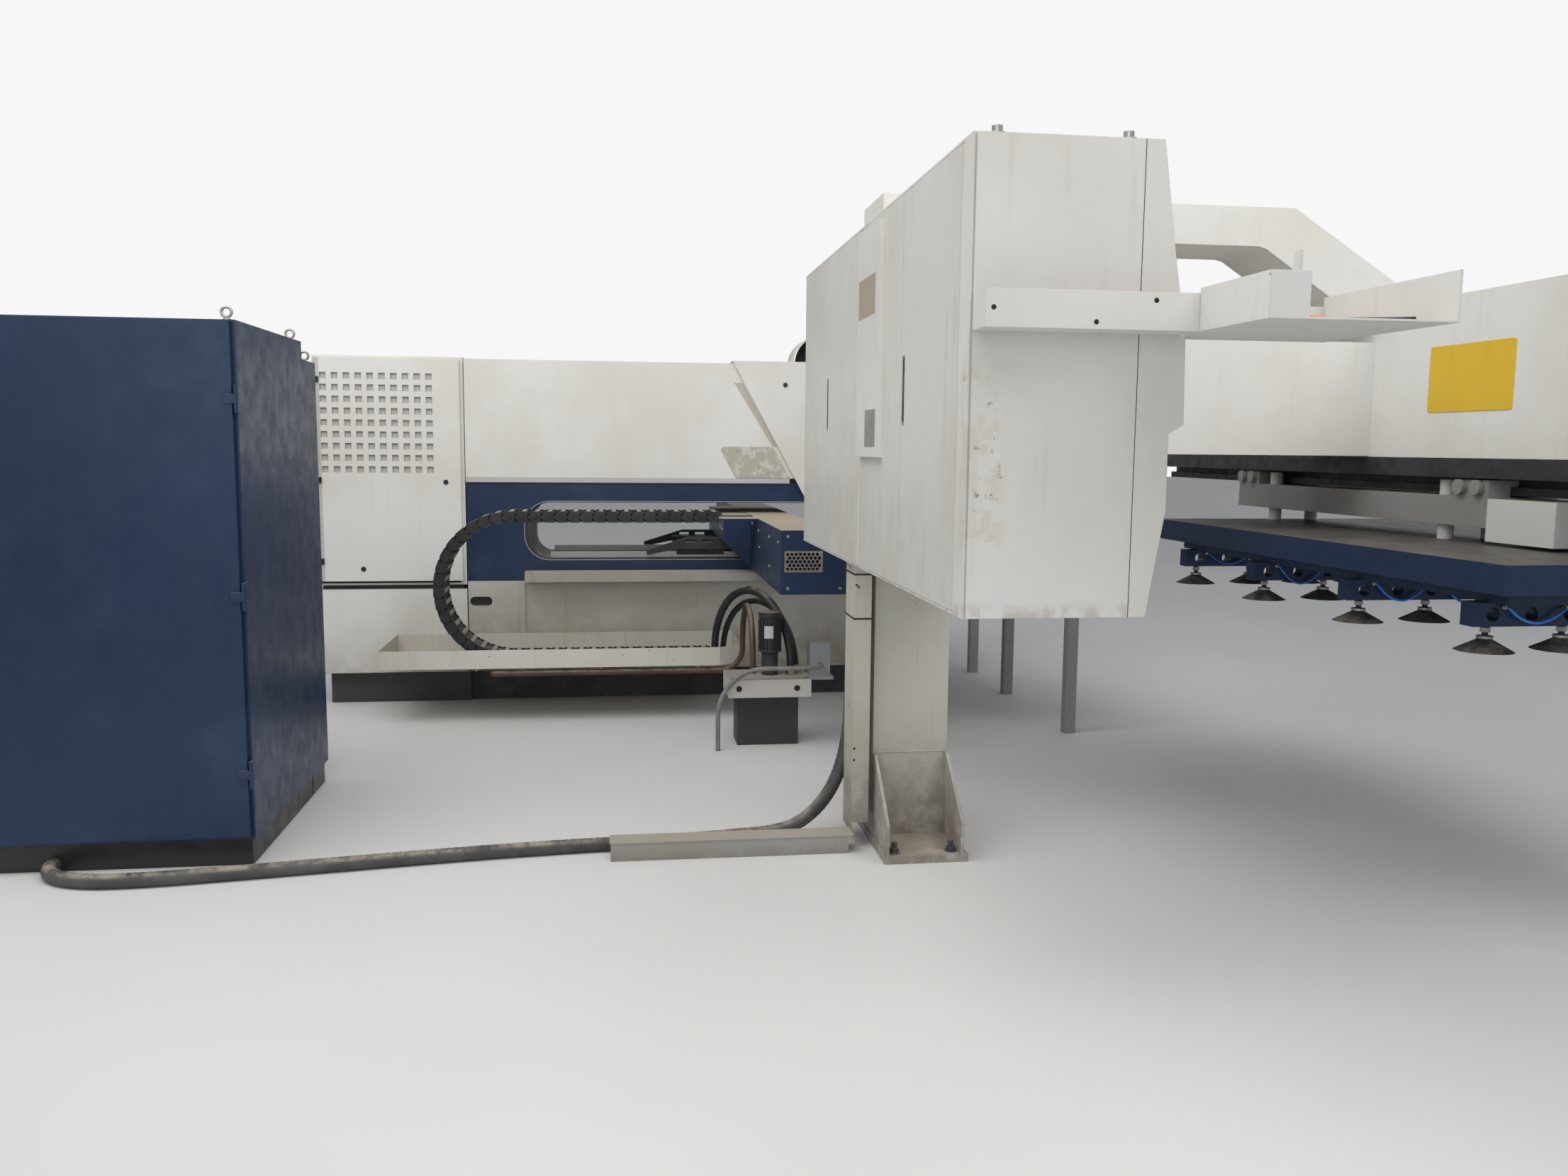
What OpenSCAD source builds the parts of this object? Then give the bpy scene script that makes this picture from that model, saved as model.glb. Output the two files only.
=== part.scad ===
/* [Press frame] */
// Height of the white upper arm above the floor
frame_h = 2045; // [1950:5:2200]
// Thickness of the welded C frame, without its covers
frame_t = 580; // [500:10:700]
// Distance from the punch axis back to the rear end of the frame
frame_back = 2485; // [2400:5:2600]
// Distance from the punch axis forward to the nose of the frame
frame_nose = 380; // [340:5:500]
// Height of the floor of the throat
throat_z = 870; // [850:5:890]
// Clear height of the throat
throat_h = 335; // [325:5:350]
// Distance from the punch axis back to the closed end of the throat
throat_depth = 2110; // [2060:5:2160]
// Corner radius at the closed end of the throat
throat_r = 110; // [80:5:140]
// Thickness of the painted side covers
cover_t = 30; // [20:1:35]
// Height of the lower edge of the white upper cover
cover_z = 1355; // [1330:5:1400]
// Height of the aluminium trim strip under the white cover
trim_h = 30; // [20:1:40]
// Height of the lower edge of the blue side cover
blue_z = 735; // [715:5:760]
// Height of the recessed plinth
plinth_h = 190; // [150:5:240]
/* [Punching head] */
// Radius of the ram
ram_r = 60; // [50:1:70]
// Stroke of the ram
ram_stroke = 30; // [20:1:30]
// Radius of the rotating tool adapter and of the die adapter
adapter_r = 85; // [76:1:100]
// Height of the sheet plane above the floor
sheet_z = 935; // [925:5:945]
// Radial clearance of turning and sliding fits
fit_gap = 0.5; // [0.3:0.1:1]
/* [Power cabinet] */
// Width of the rear power cabinet
power_w = 850; // [800:10:900]
// Depth of the rear power cabinet
power_d = 780; // [700:10:900]
// Height of the lower edge of the vented door
door_z = 740; // [735:5:760]
// Pitch of the pressed vents
vent_pitch = 66; // [62:1:68]
// Height pitch of the pressed vents
vent_rise = 67.5; // [60:0.5:69]
// Side of one square vent
vent_side = 36; // [28:1:42]
// Thickness of cabinet doors
door_t = 25; // [18:1:30]
/* [Blue cabinets] */
// Width of the blue electrical cabinets
blue_w = 940; // [840:10:1000]
// Depth of the front blue cabinet
blue_d = 955; // [800:5:1000]
// Height of the front blue cabinet
blue_h = 1975; // [1900:5:2100]
// Depth of the rear blue cabinet
blue_rear_d = 235; // [200:5:300]
// Height of the rear blue cabinet
blue_rear_h = 1900; // [1850:5:1950]
/* [Raised cabinet] */
// Length of the raised control cabinet
raised_l = 2595; // [2500:5:2700]
// Depth of the raised cabinet, without its rear housing
raised_d = 436; // [420:2:480]
// Height of the lower face of the raised cabinet
raised_z = 1125; // [1110:5:1140]
// Height of the raised cabinet
raised_h = 1180; // [1140:5:1200]
// Width of the plain corner strip at its near end
corner_w = 80; // [60:5:100]
// Sheet thickness of the cabinet walls
wall_t = 12; // [8:1:16]
/* [Column and beam] */
// Width of the column
column_w = 298; // [280:2:310]
// Depth of the column
column_d = 420; // [380:5:440]
// Distance from the press to the near face of the column
column_y = -3186; // [-3220:2:-3150]
// Height of the arm that bridges from the column to the beam
arm_h = 150; // [130:5:180]
// Height of the loader beam
beam_h = 588; // [560:4:620]
// Width of the loader beam
beam_w = 300; // [280:5:340]
// Height of the lower face of the loader beam
beam_z = 1530; // [1500:5:1560]
// Length of the loader beam
beam_l = 4000; // [3800:50:4400]
/* [Cross rail] */
// Width of the cross rail
rail_w = 260; // [240:5:280]
// Length of the cross rail
rail_l = 3800; // [3600:20:3900]
// Height of the top of the cross rail
rail_top = 1145; // [1135:5:1160]
// Height of the deep ends of the cross rail
rail_h = 315; // [290:5:330]
/* [Energy chain] */
// Pitch of the chain links
link_pitch = 70; // [66:1:76]
// Height of one link
link_h = 64; // [56:1:66]
// Outer width of the chain
chain_w = 220; // [200:5:230]
// Bend radius of the chain at its middle line
bend_r = 396; // [380:2:400]
/* [Suction loader] */
// Width of the suction frame across the beam
suction_w = 1250; // [1100:10:1400]
// Length of the suction frame along the beam
suction_l = 2300; // [2250:50:2500]
// Height of the suction frame's slab
slab_h = 90; // [70:5:110]
// Radius of a large suction cup
cup_r = 85; // [60:1:95]
/* [Hidden] */
$fn = 48;
tiny = 0.01;

// Paint and material colours
white_paint = [0.87, 0.87, 0.85];
aged_white = [0.80, 0.78, 0.73];
blue_paint = [0.06, 0.15, 0.31];
dark_steel = [0.13, 0.13, 0.14];
grey_steel = [0.55, 0.56, 0.57];
bare_metal = [0.72, 0.72, 0.70];
black_plastic = [0.05, 0.05, 0.06];

// Faces of the press frame
core = frame_t / 2;
blue_face = core + cover_t;
white_face = blue_face + 10;
head_face = white_face + 15;
sheet_roof = 25;
core_top = frame_h - sheet_roof;
throat_top = throat_z + throat_h;
liner = 40;
slant_top_x = -905;
slant_low_x = -459;
slant_low_z = throat_top + 39;
slant_run = (slant_low_x - slant_top_x) / (frame_h - slant_low_z);
function slant_x(z) = slant_top_x + slant_run * (frame_h - z);
trim_end = slant_x(cover_z) - 30;

// Ram, adapters and bores
adapter_z = sheet_z + ram_stroke + 2;
adapter_h = 48;
ram_low = adapter_z + adapter_h;
ram_top = throat_top + 500;
spigot_r = 30;
spigot_l = 55;
punch_r = 12;
die_seat = throat_z - 60;
chute_r = 45;
face_rest = 0.5;

// Power cabinet
power_x1 = -frame_back - 5;
power_x0 = power_x1 - power_w;
power_top = frame_h + 8;
power_low = door_z - 25;
power_front = -blue_face;
vent_cols = 10;
vent_rows = 9;
vent_x = power_x0 + 63;
vent_top = frame_h - 109;
hinge_r = 8;
hinge_h = 100;
power_pin_x = power_x0 - 1;
power_pin_y = power_front - door_t - 2;
power_hinge_z = [power_top - 139, door_z + 595, door_z + 120];
lock_r = 14;
upper_lock_at = [power_x1 - 107, door_z + 585];
lower_lock_at = [power_x0 + 261, door_z + 73];

// Blue cabinets
blue_x1 = -2930;
blue_x0 = blue_x1 - blue_w;
blue_y0 = -3230;
blue_y1 = blue_y0 + blue_d;
blue_plinth = 100;
blue_door_z = blue_plinth + 15;
blue_pin_x = blue_x1 + 1;
blue_pin_y = blue_y0 - 2;
blue_hinge_z = [blue_plinth + 250, blue_plinth + 900, blue_h - 275];
blue_handle_x = blue_x0 + 60;
blue_handle_z = blue_plinth + 950;

// Raised cabinet and its doors
raised_x0 = -760;
raised_y0 = -4850;
raised_y1 = raised_y0 + raised_l;
raised_x1 = raised_x0 + raised_d;
raised_top = raised_z + raised_h;
body_x0 = raised_x0 + door_t;
door_pitch = (raised_l - corner_w) / 4;
door_gap = 1.5;
door_low = raised_z + 8;
door_top = raised_top - 8;
pivot_r = 5;
pivot_l = 12;
pivot_x = raised_x0 + door_t / 2;
handle_l = 190;
handle_z = raised_z + 499;
handle_w = 24;

// Column, arm and beam
column_x0 = raised_x0 + 140;
column_x1 = column_x0 + column_w;
post_in = 24;
post_x0 = column_x0 + post_in;
post_x1 = raised_x1 - wall_t - post_in;
post_y0 = column_y + 30;
post_y1 = column_y + column_d - 30;
arm_z = raised_top + 37;
arm_top = arm_z + arm_h;
arm_y1 = column_y + 350;
beam_x0 = 1400;
beam_x1 = beam_x0 + beam_w;
beam_y0 = -5200;
beam_y1 = beam_y0 + beam_l;
beam_top = beam_z + beam_h;
strip_h = 70;
strip_z = beam_z - strip_h;
member_z = beam_z + 3;
member_top = member_z + 450;
member_y0 = column_y - 4;
member_y1 = column_y + column_d + 4;
tee_web = 30;
tee_wide = 90;
tee_h = 30;
hole_gap = 5;

// Cable ways
tray_z = raised_z + 710;
tray_h = 91;
tray_d = 100;
tray_t = 5;
tray_x1 = raised_x1 + 108;
pan_x1 = raised_x1 + 559;
pan_y0 = raised_y0 - 420;
pan_y1 = raised_y0 + 110;
channel_x0 = raised_x0 + 45;
channel_x1 = channel_x0 + 67;
channel_y0 = column_y - 64;
channel_y1 = channel_y0 + 170;

// Cross rail
rail_x0 = -815;
rail_x1 = rail_x0 + rail_w;
rail_y = rail_l / 2;
rail_low = rail_top - rail_h;
bridge_low = throat_z + 115;
bridge_y = 430;
step_x = rail_x0 - 160;
step_y = 560;
housing_x1 = rail_x1 + 70;
housing_y = 340;
guide_w = 40;
guide_h = 35;
guide_y = core - 40;
block_x1 = rail_x1 - 65;
grille_z = rail_top - 153;
ledge_d = 95;
ledge_h = 62;
clamp_y = [-550, 0, 550];
bar_l = 1400;
bar_x1 = rail_x1 + 40;
bar_low = sheet_z + 25;
bar_top = sheet_z + 145;
clamp_half = 55;
lip_t = 4;
cassette_y = [-400, -275, -150, 150, 275, 400];
jaw_pin_x = bar_x1 + 55;
jaw_pin_z = sheet_z + 30;
jaw_pin_r = 6;
jaw_tip_x = bar_x1 + 115;

// Sheet table
table_x0 = -250;
table_x1 = 900;
table_y0 = blue_face + 25;
table_y1 = 1500;

// Energy chain
chain_y = -830;
chain_x0 = step_x - 35;
bend_x = -2176;
side_t = 10;
grip = 30;
chain_high = rail_top + 9;
chain_low = chain_high - 2 * bend_r;
upper_run = chain_x0 - bend_x;
bend_run = PI * bend_r;
lower_run = 1120;
links = floor((upper_run + bend_run + lower_run) / link_pitch);
tray_floor = chain_low - link_h / 2 - 10;
tray_top = chain_low + 58;
unit_top = 362;
unit_box_x = -610;
unit_y = -1500;
unit_box_w = 106;
unit_box_y = unit_y - 60;

// Floor hose, by the points that its middle line passes
hose_r = 27;
hose_route = [[-681, -3038, 1125], [-681, -3038, 1000], [-681, -3038, 860], [-681, -3038, 720],
  [-682, -3038, 590], [-686, -3039, 480], [-696, -3041, 385], [-714, -3044, 300], [-742, -3050, 222],
  [-782, -3058, 154], [-832, -3067, 99], [-892, -3078, 58], [-960, -3090, 35], [-1035, -3105, 27],
  [-1120, -3122, 27], [-1220, -3140, 27], [-1330, -3155, 27], [-1450, -3166, 27], [-1580, -3175, 27],
  [-1710, -3184, 27], [-1850, -3196, 27], [-2000, -3212, 27], [-2150, -3231, 27], [-2300, -3252, 27],
  [-2450, -3275, 27], [-2600, -3298, 27], [-2750, -3321, 27], [-2900, -3344, 27], [-3050, -3366, 27],
  [-3190, -3384, 27], [-3310, -3393, 27], [-3415, -3389, 27], [-3505, -3366, 27], [-3575, -3322, 27],
  [-3616, -3270, 27], [-3630, -3225, 27], [-3630, -3190, 27]];

// Loader
carriage_y = [-3870, -2140];
carriage_z = [strip_z - 174, strip_z - 60];
slab_x0 = beam_x0 + beam_w / 2 - suction_w / 2;
slab_x1 = slab_x0 + suction_w;
slab_y0 = -4600;
slab_y1 = slab_y0 + suction_l;
slab_top = strip_z - 232;
slab_z = slab_top - slab_h;
rod_r = 28;
rod_y = [-3600, -2400];
rod_x = [beam_x0 + 60, beam_x1 - 60];
slab_rim = 93;
arm_top_z = slab_z - 40;
arm_low = arm_top_z - 75;
cup_z = arm_low - 78;
cup_cols = 5;
arm_rows = [-4400, -3750, -3100, -2500];

// A box between two corners
module block(x0, x1, y0, y1, z0, z1) {
  translate([x0, y0, z0]) cube([x1 - x0, y1 - y0, z1 - z0]);
}

// An outline in X and Z, extruded along Y
module across(y0, y1) {
  translate([0, y1, 0]) rotate([90, 0, 0]) linear_extrude(y1 - y0) children();
}

// An outline in Y and Z, extruded along X
module along(x0, x1) {
  translate([x0, 0, 0]) rotate([90, 0, 90]) linear_extrude(x1 - x0) children();
}

module rod_y_axis(x, y0, y1, z, r) {
  translate([x, y1, z]) rotate([90, 0, 0]) cylinder(h = y1 - y0, r = r);
}

module rod_x_axis(x0, x1, y, z, r) {
  translate([x0, y, z]) rotate([0, 90, 0]) cylinder(h = x1 - x0, r = r);
}

// The open throat with its rounded closed end
module throat_space(x0, z0, z1, r, half) {
  block(x0 + r, frame_nose + 50, -half, half, z0, z1);
  block(x0, x0 + r + tiny, -half, half, z0 + r, z1 - r);
  for (z = [z0 + r, z1 - r]) rod_y_axis(x0 + r, -half, half, z, r);
}

// Press frame
module c_frame() {
  color(dark_steel)
  difference() {
    block(-frame_back, frame_nose, -core, core, plinth_h, core_top);
    throat_space(-throat_depth, throat_z, throat_top, throat_r, core + 1);
    translate([0, 0, throat_top - 1]) cylinder(h = ram_top - throat_top + 41, r = ram_r + fit_gap);
    translate([0, 0, die_seat]) cylinder(h = throat_z - die_seat + 1, r = adapter_r + fit_gap);
    translate([0, 0, plinth_h - 1]) cylinder(h = die_seat - plinth_h + 2, r = chute_r);
  }
}

module base_plinth() {
  inset = 60;
  chute_low = 60;
  color(dark_steel)
  difference() {
    block(-frame_back, frame_nose - inset, -core + inset, core - inset, 0, plinth_h);
    block(-chute_r, chute_r, -chute_r, core, chute_low, plinth_h + 1);
  }
}

module throat_covers() {
  grown = liner + throat_r;
  color(blue_paint)
  for (s = [0, 1]) mirror([0, s, 0])
  difference() {
    block(-frame_back, frame_nose, -blue_face, -core, blue_z, cover_z - trim_h);
    throat_space(-throat_depth - liner, throat_z - 12, throat_top + 10, grown, blue_face + 1);
  }
}

module upper_cover() {
  nose = 20;
  color(white_paint) {
    difference() {
      block(-frame_back, frame_nose + nose, -white_face, white_face, cover_z, frame_h);
      block(-frame_back - 1, frame_nose, -core, core, cover_z - 1, core_top);
    }
  }
}

module trim_strips() {
  proud = 15;
  plate_t = 4;
  plate_w = 330;
  gap = 28;
  corner_r = 22;
  plate_low = cover_z + 3;
  plate_top = cover_z + 192;
  corner = [slant_x(plate_top) - gap - plate_w + 36, plate_top - corner_r];
  color([0.62, 0.64, 0.64])
  for (s = [0, 1]) mirror([0, s, 0])
    block(-frame_back, trim_end, -blue_face - proud, -core, cover_z - trim_h, cover_z);
  color([0.70, 0.67, 0.60])
  across(-white_face - plate_t, -white_face)
    polygon(concat([for (a = [180 : -15 : 90]) corner + corner_r * [cos(a), sin(a)]],
      [[slant_x(plate_top) - gap, plate_top], [slant_x(plate_low) - gap, plate_low],
      [slant_x(plate_low) - gap - plate_w, plate_low]]));
}

module head_cover() {
  nose = frame_nose + 20;
  roof = 15;
  color(white_paint)
  difference() {
    across(-head_face, head_face)
      polygon([[slant_top_x, frame_h + roof], [nose + roof, frame_h + roof],
        [nose + roof, slant_low_z], [slant_low_x, slant_low_z]]);
    block(slant_top_x - 50, nose, -white_face, white_face, slant_low_z - 50, frame_h);
  }
}

module lower_panels() {
  rib_x = -2185;
  rib_w = 35;
  slot_x = [-frame_back + 38, -frame_back + 112];
  slot_z = blue_z - 123;
  slot_r = 28;
  color(aged_white)
  for (s = [0, 1]) mirror([0, s, 0]) {
    difference() {
      block(-frame_back, frame_nose, -blue_face, -core, plinth_h, blue_z);
      block(slot_x[0], slot_x[1], -blue_face - 1, -core + 1, slot_z - slot_r, slot_z + slot_r);
      for (x = slot_x) rod_y_axis(x, -blue_face - 1, -core + 1, slot_z, slot_r);
    }
    block(rib_x, rib_x + rib_w, -blue_face - 12, -blue_face, plinth_h, blue_z);
  }
}

module guide_ledge() {
  lip = 8;
  color(aged_white)
  for (s = [0, 1]) mirror([0, s, 0])
  difference() {
    block(-throat_depth - 36, frame_nose - 40, -blue_face - ledge_d, -blue_face, blue_z, blue_z + ledge_h);
    block(-throat_depth, frame_nose, -blue_face - ledge_d - 1, -blue_face - ledge_d + 30,
      blue_z + ledge_h - lip, blue_z + ledge_h + 1);
    block(-throat_depth, frame_nose, -blue_face - 25, -blue_face - 12, blue_z + ledge_h - lip, blue_z + ledge_h + 1);
  }
}

module guide_rails() {
  color(grey_steel)
  for (s = [0, 1]) mirror([0, s, 0])
    block(-throat_depth + throat_r, -200, -guide_y - guide_w / 2, -guide_y + guide_w / 2,
      throat_z, throat_z + guide_h);
}

module vent_hood() {
  hood_x = -320;
  hood_r = 185;
  rim = 12;
  roof = frame_h + 15;
  color(dark_steel)
  difference() {
    rod_y_axis(hood_x, -150, 150, roof, hood_r);
    rod_y_axis(hood_x, -151, 120, roof, hood_r - rim);
    block(hood_x - hood_r - 1, hood_x + hood_r + 1, -160, 160, roof - hood_r - 1, roof);
  }
}

// One hinge barrel: two fixed knuckles on a pin, or the leaf's middle knuckle
module knuckles(x, y, z) {
  third = hinge_h / 3;
  for (dz = [0, 2 * third])
    translate([x, y, z - hinge_h / 2 + dz]) cylinder(h = third - 0.5, r = hinge_r);
  translate([x, y, z - hinge_h / 2]) cylinder(h = hinge_h - 1, r = hinge_r / 2);
}

module leaf_knuckle(x, y, z, lug_x, lug_y) {
  third = hinge_h / 3;
  difference() {
    union() {
      translate([x, y, z - third / 2]) cylinder(h = third - 1, r = hinge_r);
      translate([0, 0, z - third / 2]) linear_extrude(third - 1)
        polygon([[x, y - hinge_r], [lug_x, y - hinge_r], [lug_x, lug_y], [x, lug_y]]);
    }
    translate([x, y, z - third]) cylinder(h = 2 * third, r = hinge_r / 2 + fit_gap);
  }
}

// Power cabinet
module power_cabinet() {
  bevel = 35;
  color(white_paint)
  difference() {
    block(power_x0, power_x1, power_front, power_front + power_d, power_low, power_top);
    block(power_x0 + wall_t, power_x1 - bevel, power_front - 1, power_front + power_d - wall_t,
      power_low + wall_t, power_top - wall_t);
  }
}

module power_base() {
  gap = 10;
  color(white_paint)
    block(power_x0, power_x1, power_front - gap, power_front + power_d, plinth_h, power_low - 25);
  color(dark_steel) {
    block(power_x0 + 20, power_x1 - 20, power_front + 20, power_front + power_d - 20, power_low - 25, power_low);
    block(power_x0 + 40, -frame_back, power_front + 60, power_front + power_d - 60, 0, plinth_h);
  }
}

module power_hinges() {
  leaf_t = 4;
  color(black_plastic)
  for (z = power_hinge_z) {
    third = hinge_h / 3;
    knuckles(power_pin_x, power_pin_y, z);
    for (dz = [0, 2 * third])
      block(power_x0 - leaf_t, power_x0, power_pin_y, power_front + 30, z - hinge_h / 2 + dz,
        z - hinge_h / 2 + dz + third - 0.5);
  }
}

module vented_door() {
  x0 = power_x0 + 12;
  x1 = power_x1 - 20;
  vent_depth = 12;
  color(white_paint)
  difference() {
    union() {
      block(x0, x1, power_front - door_t, power_front, door_z, power_top - 13);
      for (z = power_hinge_z)
        leaf_knuckle(power_pin_x, power_pin_y, z, x0 + 30, power_front - door_t);
    }
    for (i = [0:vent_cols - 1], j = [0:vent_rows - 1])
      translate([vent_x + i * vent_pitch - vent_side / 2, power_front - door_t - 1,
        vent_top - j * vent_rise - vent_side / 2])
        cube([vent_side, vent_depth + 1, vent_side]);
    for (at = [upper_lock_at, lower_lock_at])
      rod_y_axis(at[0], power_front - door_t - 1, power_front + 1, at[1], lock_r / 2 + fit_gap);
  }
}

// A quarter-turn lock with its shaft and inner cam
module quarter_lock(at) {
  face = power_front - door_t;
  color(black_plastic)
  difference() {
    union() {
      rod_y_axis(at[0], face - 5, face, at[1], lock_r);
      rod_y_axis(at[0], face - tiny, power_front + 4, at[1], lock_r / 2);
      block(at[0] - 8, at[0] + 8, power_front + 4 - tiny, power_front + 8, at[1] - 10, at[1] + 30);
    }
    block(at[0] - 2, at[0] + 2, face - 6, face - 2, at[1] - 9, at[1] + 9);
  }
}

module upper_lock() { quarter_lock(upper_lock_at); }

module lower_lock() { quarter_lock(lower_lock_at); }

// Blue electrical cabinets
module blue_cabinet() {
  color(blue_paint) {
    difference() {
      block(blue_x0, blue_x1, blue_y0 + door_t, blue_y1, blue_plinth, blue_h);
      block(blue_x0 + wall_t, blue_x1 - wall_t, blue_y0, blue_y1 - wall_t, blue_plinth + wall_t, blue_h - wall_t);
    }
    block(blue_x0 + 15, blue_x1 - 15, blue_y0 + door_t + 15, blue_y1 - 15, 0, blue_plinth);
    for (z = blue_hinge_z) {
      third = hinge_h / 3;
      knuckles(blue_pin_x, blue_pin_y, z);
      for (dz = [0, 2 * third])
        block(blue_x1, blue_x1 + 4, blue_pin_y, blue_y0 + door_t + 30, z - hinge_h / 2 + dz,
          z - hinge_h / 2 + dz + third - 0.5);
    }
  }
}

module blue_cabinet_rear() {
  color(blue_paint) {
    block(blue_x0, blue_x1, blue_y1, blue_y1 + blue_rear_d, blue_plinth, blue_rear_h);
    block(blue_x0 + 15, blue_x1 - 15, blue_y1, blue_y1 + blue_rear_d - 15, 0, blue_plinth);
  }
}

module blue_door() {
  x0 = blue_x0 + 4;
  x1 = blue_x1 - 12;
  color(blue_paint)
  difference() {
    union() {
      block(x0, x1, blue_y0, blue_y0 + door_t, blue_door_z, blue_h - 5);
      for (z = blue_hinge_z) leaf_knuckle(blue_pin_x, blue_pin_y, z, x1 - 30, blue_y0);
    }
    rod_y_axis(blue_handle_x, blue_y0 - 1, blue_y0 + door_t + 1, blue_handle_z, 8 + fit_gap);
  }
}

module blue_handle() {
  color(black_plastic) {
    rod_y_axis(blue_handle_x, blue_y0 - 12, blue_y0 + door_t + 4, blue_handle_z, 8);
    block(blue_handle_x - 12, blue_handle_x + 12, blue_y0 - 26, blue_y0 - 8, blue_handle_z - 130,
      blue_handle_z + 14);
    block(blue_handle_x - 44, blue_handle_x + 8, blue_y0 + door_t + 3, blue_y0 + door_t + 7,
      blue_handle_z - 10, blue_handle_z + 10);
  }
}

// A lifting eye: collar, shank and ring
module eye_bolt(x, y, z) {
  ring_r = 17;
  wire_r = 5;
  translate([x, y, z]) {
    cylinder(h = 6, r = 14);
    cylinder(h = 14, r = 6);
    translate([0, 0, 12 + ring_r]) rotate([90, 0, 0]) rotate_extrude() translate([ring_r, 0]) circle(wire_r, $fn = 20);
  }
}

module lifting_eyes() {
  in = 35;
  color(bare_metal) {
    for (x = [blue_x0 + in, blue_x1 - in], y = [blue_y0 + door_t + in, blue_y1 - in]) eye_bolt(x, y, blue_h);
    for (x = [blue_x0 + in, blue_x1 - in]) eye_bolt(x, blue_y1 + blue_rear_d - in, blue_rear_h);
    for (x = [raised_x0 + 70, raised_x1 - 30], y = [raised_y0 + 40, raised_y1 - 40])
      translate([x, y, raised_top]) {
        cylinder(h = 8, r = 20);
        cylinder(h = 24, r = 13);
      }
  }
}

// Raised control cabinet on its column
module raised_cabinet() {
  frame_w = 40;
  seam = 5;
  strip_t = 7;
  color(white_paint)
  difference() {
    union() {
      block(body_x0, raised_x1, raised_y0, raised_y1, raised_z, raised_top);
      block(raised_x0, body_x0 + tiny, raised_y0, raised_y0 + corner_w, raised_z, raised_top);
      for (z = [raised_z, raised_top - strip_t])
        block(raised_x0, body_x0 + tiny, raised_y0 + corner_w - tiny, raised_y1, z, z + strip_t);
    }
    for (i = [0, 2])
      block(body_x0 - 30, raised_x1 - wall_t, raised_y0 + corner_w + i * door_pitch + frame_w,
        raised_y0 + corner_w + (i + 2) * door_pitch - frame_w, raised_z + frame_w, raised_top - frame_w);
    block(post_x0 - hole_gap, post_x1 + hole_gap, post_y0 - hole_gap, post_y1 + hole_gap, raised_z - 1, raised_top + 1);
    block(post_x1, raised_x1 + 1, member_y0 - hole_gap, member_y1 + hole_gap, member_z - hole_gap, member_top + hole_gap);
    block(raised_x0 + 4, raised_x0 + 4 + seam, raised_y0 - 1, raised_y0 + seam, raised_z - 1, raised_top + 1);
  }
  color(grey_steel)
  for (i = [1:4], z = [door_low - 1, door_top - pivot_l + 1])
    translate([pivot_x, hinge_y(i), z]) cylinder(h = pivot_l, r = pivot_r);
}

// Hinge line of each raised door, counted from the near end
function hinge_y(i) = raised_y0 + corner_w + (i == 1 ? door_t / 2 + door_gap
  : i == 2 ? 2 * door_pitch - door_t / 2 - door_gap
  : i == 3 ? 2 * door_pitch + door_t / 2 + door_gap
  : 4 * door_pitch - door_t / 2 - door_gap);

module raised_door(i) {
  y0 = raised_y0 + corner_w + (i - 1) * door_pitch + door_gap;
  y1 = y0 + door_pitch - 2 * door_gap;
  swings_low = (i == 1 || i == 3);
  round_y = swings_low ? y0 : y1;
  color(white_paint)
  difference() {
    union() {
      block(raised_x0, body_x0 - 0.5, swings_low ? y0 + door_t / 2 : y0, swings_low ? y1 : y1 - door_t / 2,
        door_low, door_top);
      translate([pivot_x, hinge_y(i), door_low]) cylinder(h = door_top - door_low, r = door_t / 2 - 0.5);
    }
    for (z = [door_low - 1, door_top - pivot_l])
      translate([pivot_x, hinge_y(i), z]) cylinder(h = pivot_l + 1.5, r = pivot_r + fit_gap);
    if (i == 1 || i == 4)
      block(raised_x0 - 1, raised_x0 + 15, handle_y(i) - 16, handle_y(i) + 16, handle_z - 8, handle_z + handle_l + 8);
  }
}

function handle_y(i) = i == 1 ? raised_y0 + corner_w + door_pitch - 28
  : raised_y0 + corner_w + 3 * door_pitch + 28;

module raised_door_1() { raised_door(1); }

module raised_door_2() { raised_door(2); }

module raised_door_3() { raised_door(3); }

module raised_door_4() { raised_door(4); }

// A lever that swings out of its recess about a pin at its lower end
module lever(i) {
  color(black_plastic) {
    block(raised_x0 + 1, raised_x0 + 13, handle_y(i) - handle_w / 2, handle_y(i) + handle_w / 2,
      handle_z + 4, handle_z + handle_l);
    rod_y_axis(raised_x0 + 7, handle_y(i) - 15.5, handle_y(i) + 15.5, handle_z + 8, 4);
  }
}

module near_handle() { lever(1); }

module far_handle() { lever(4); }

module door_cover_plate() {
  plate_t = 20;
  plate_w = 340;
  edge = 40;
  color(white_paint)
    block(raised_x0 - plate_t, raised_x0, raised_y0 + corner_w + 2 * door_pitch - edge - plate_w,
      raised_y0 + corner_w + 2 * door_pitch - edge, raised_z + 393, raised_top - 40);
}

module rear_housing() {
  side = raised_x1;
  color(white_paint)
  difference() {
    across(raised_y0, raised_y1)
      polygon([[side, raised_z], [side + 46, raised_z], [side + 90, raised_z + 276],
        [side + 88, raised_z + 465], [side + 127, raised_z + 487], [side + 122, raised_z + 696],
        [side + 86, raised_z + 916], [side + 48, raised_top], [side, raised_top]]);
    block(side - 1, side + 200, member_y0 - hole_gap, member_y1 + hole_gap, member_z - hole_gap, member_top + hole_gap);
  }
}

module column() {
  color(aged_white) {
    block(column_x0, column_x1, column_y, column_y + column_d, 30, raised_z);
    block(post_x0, post_x1, post_y0, post_y1, raised_z - tiny, arm_z);
  }
}

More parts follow.
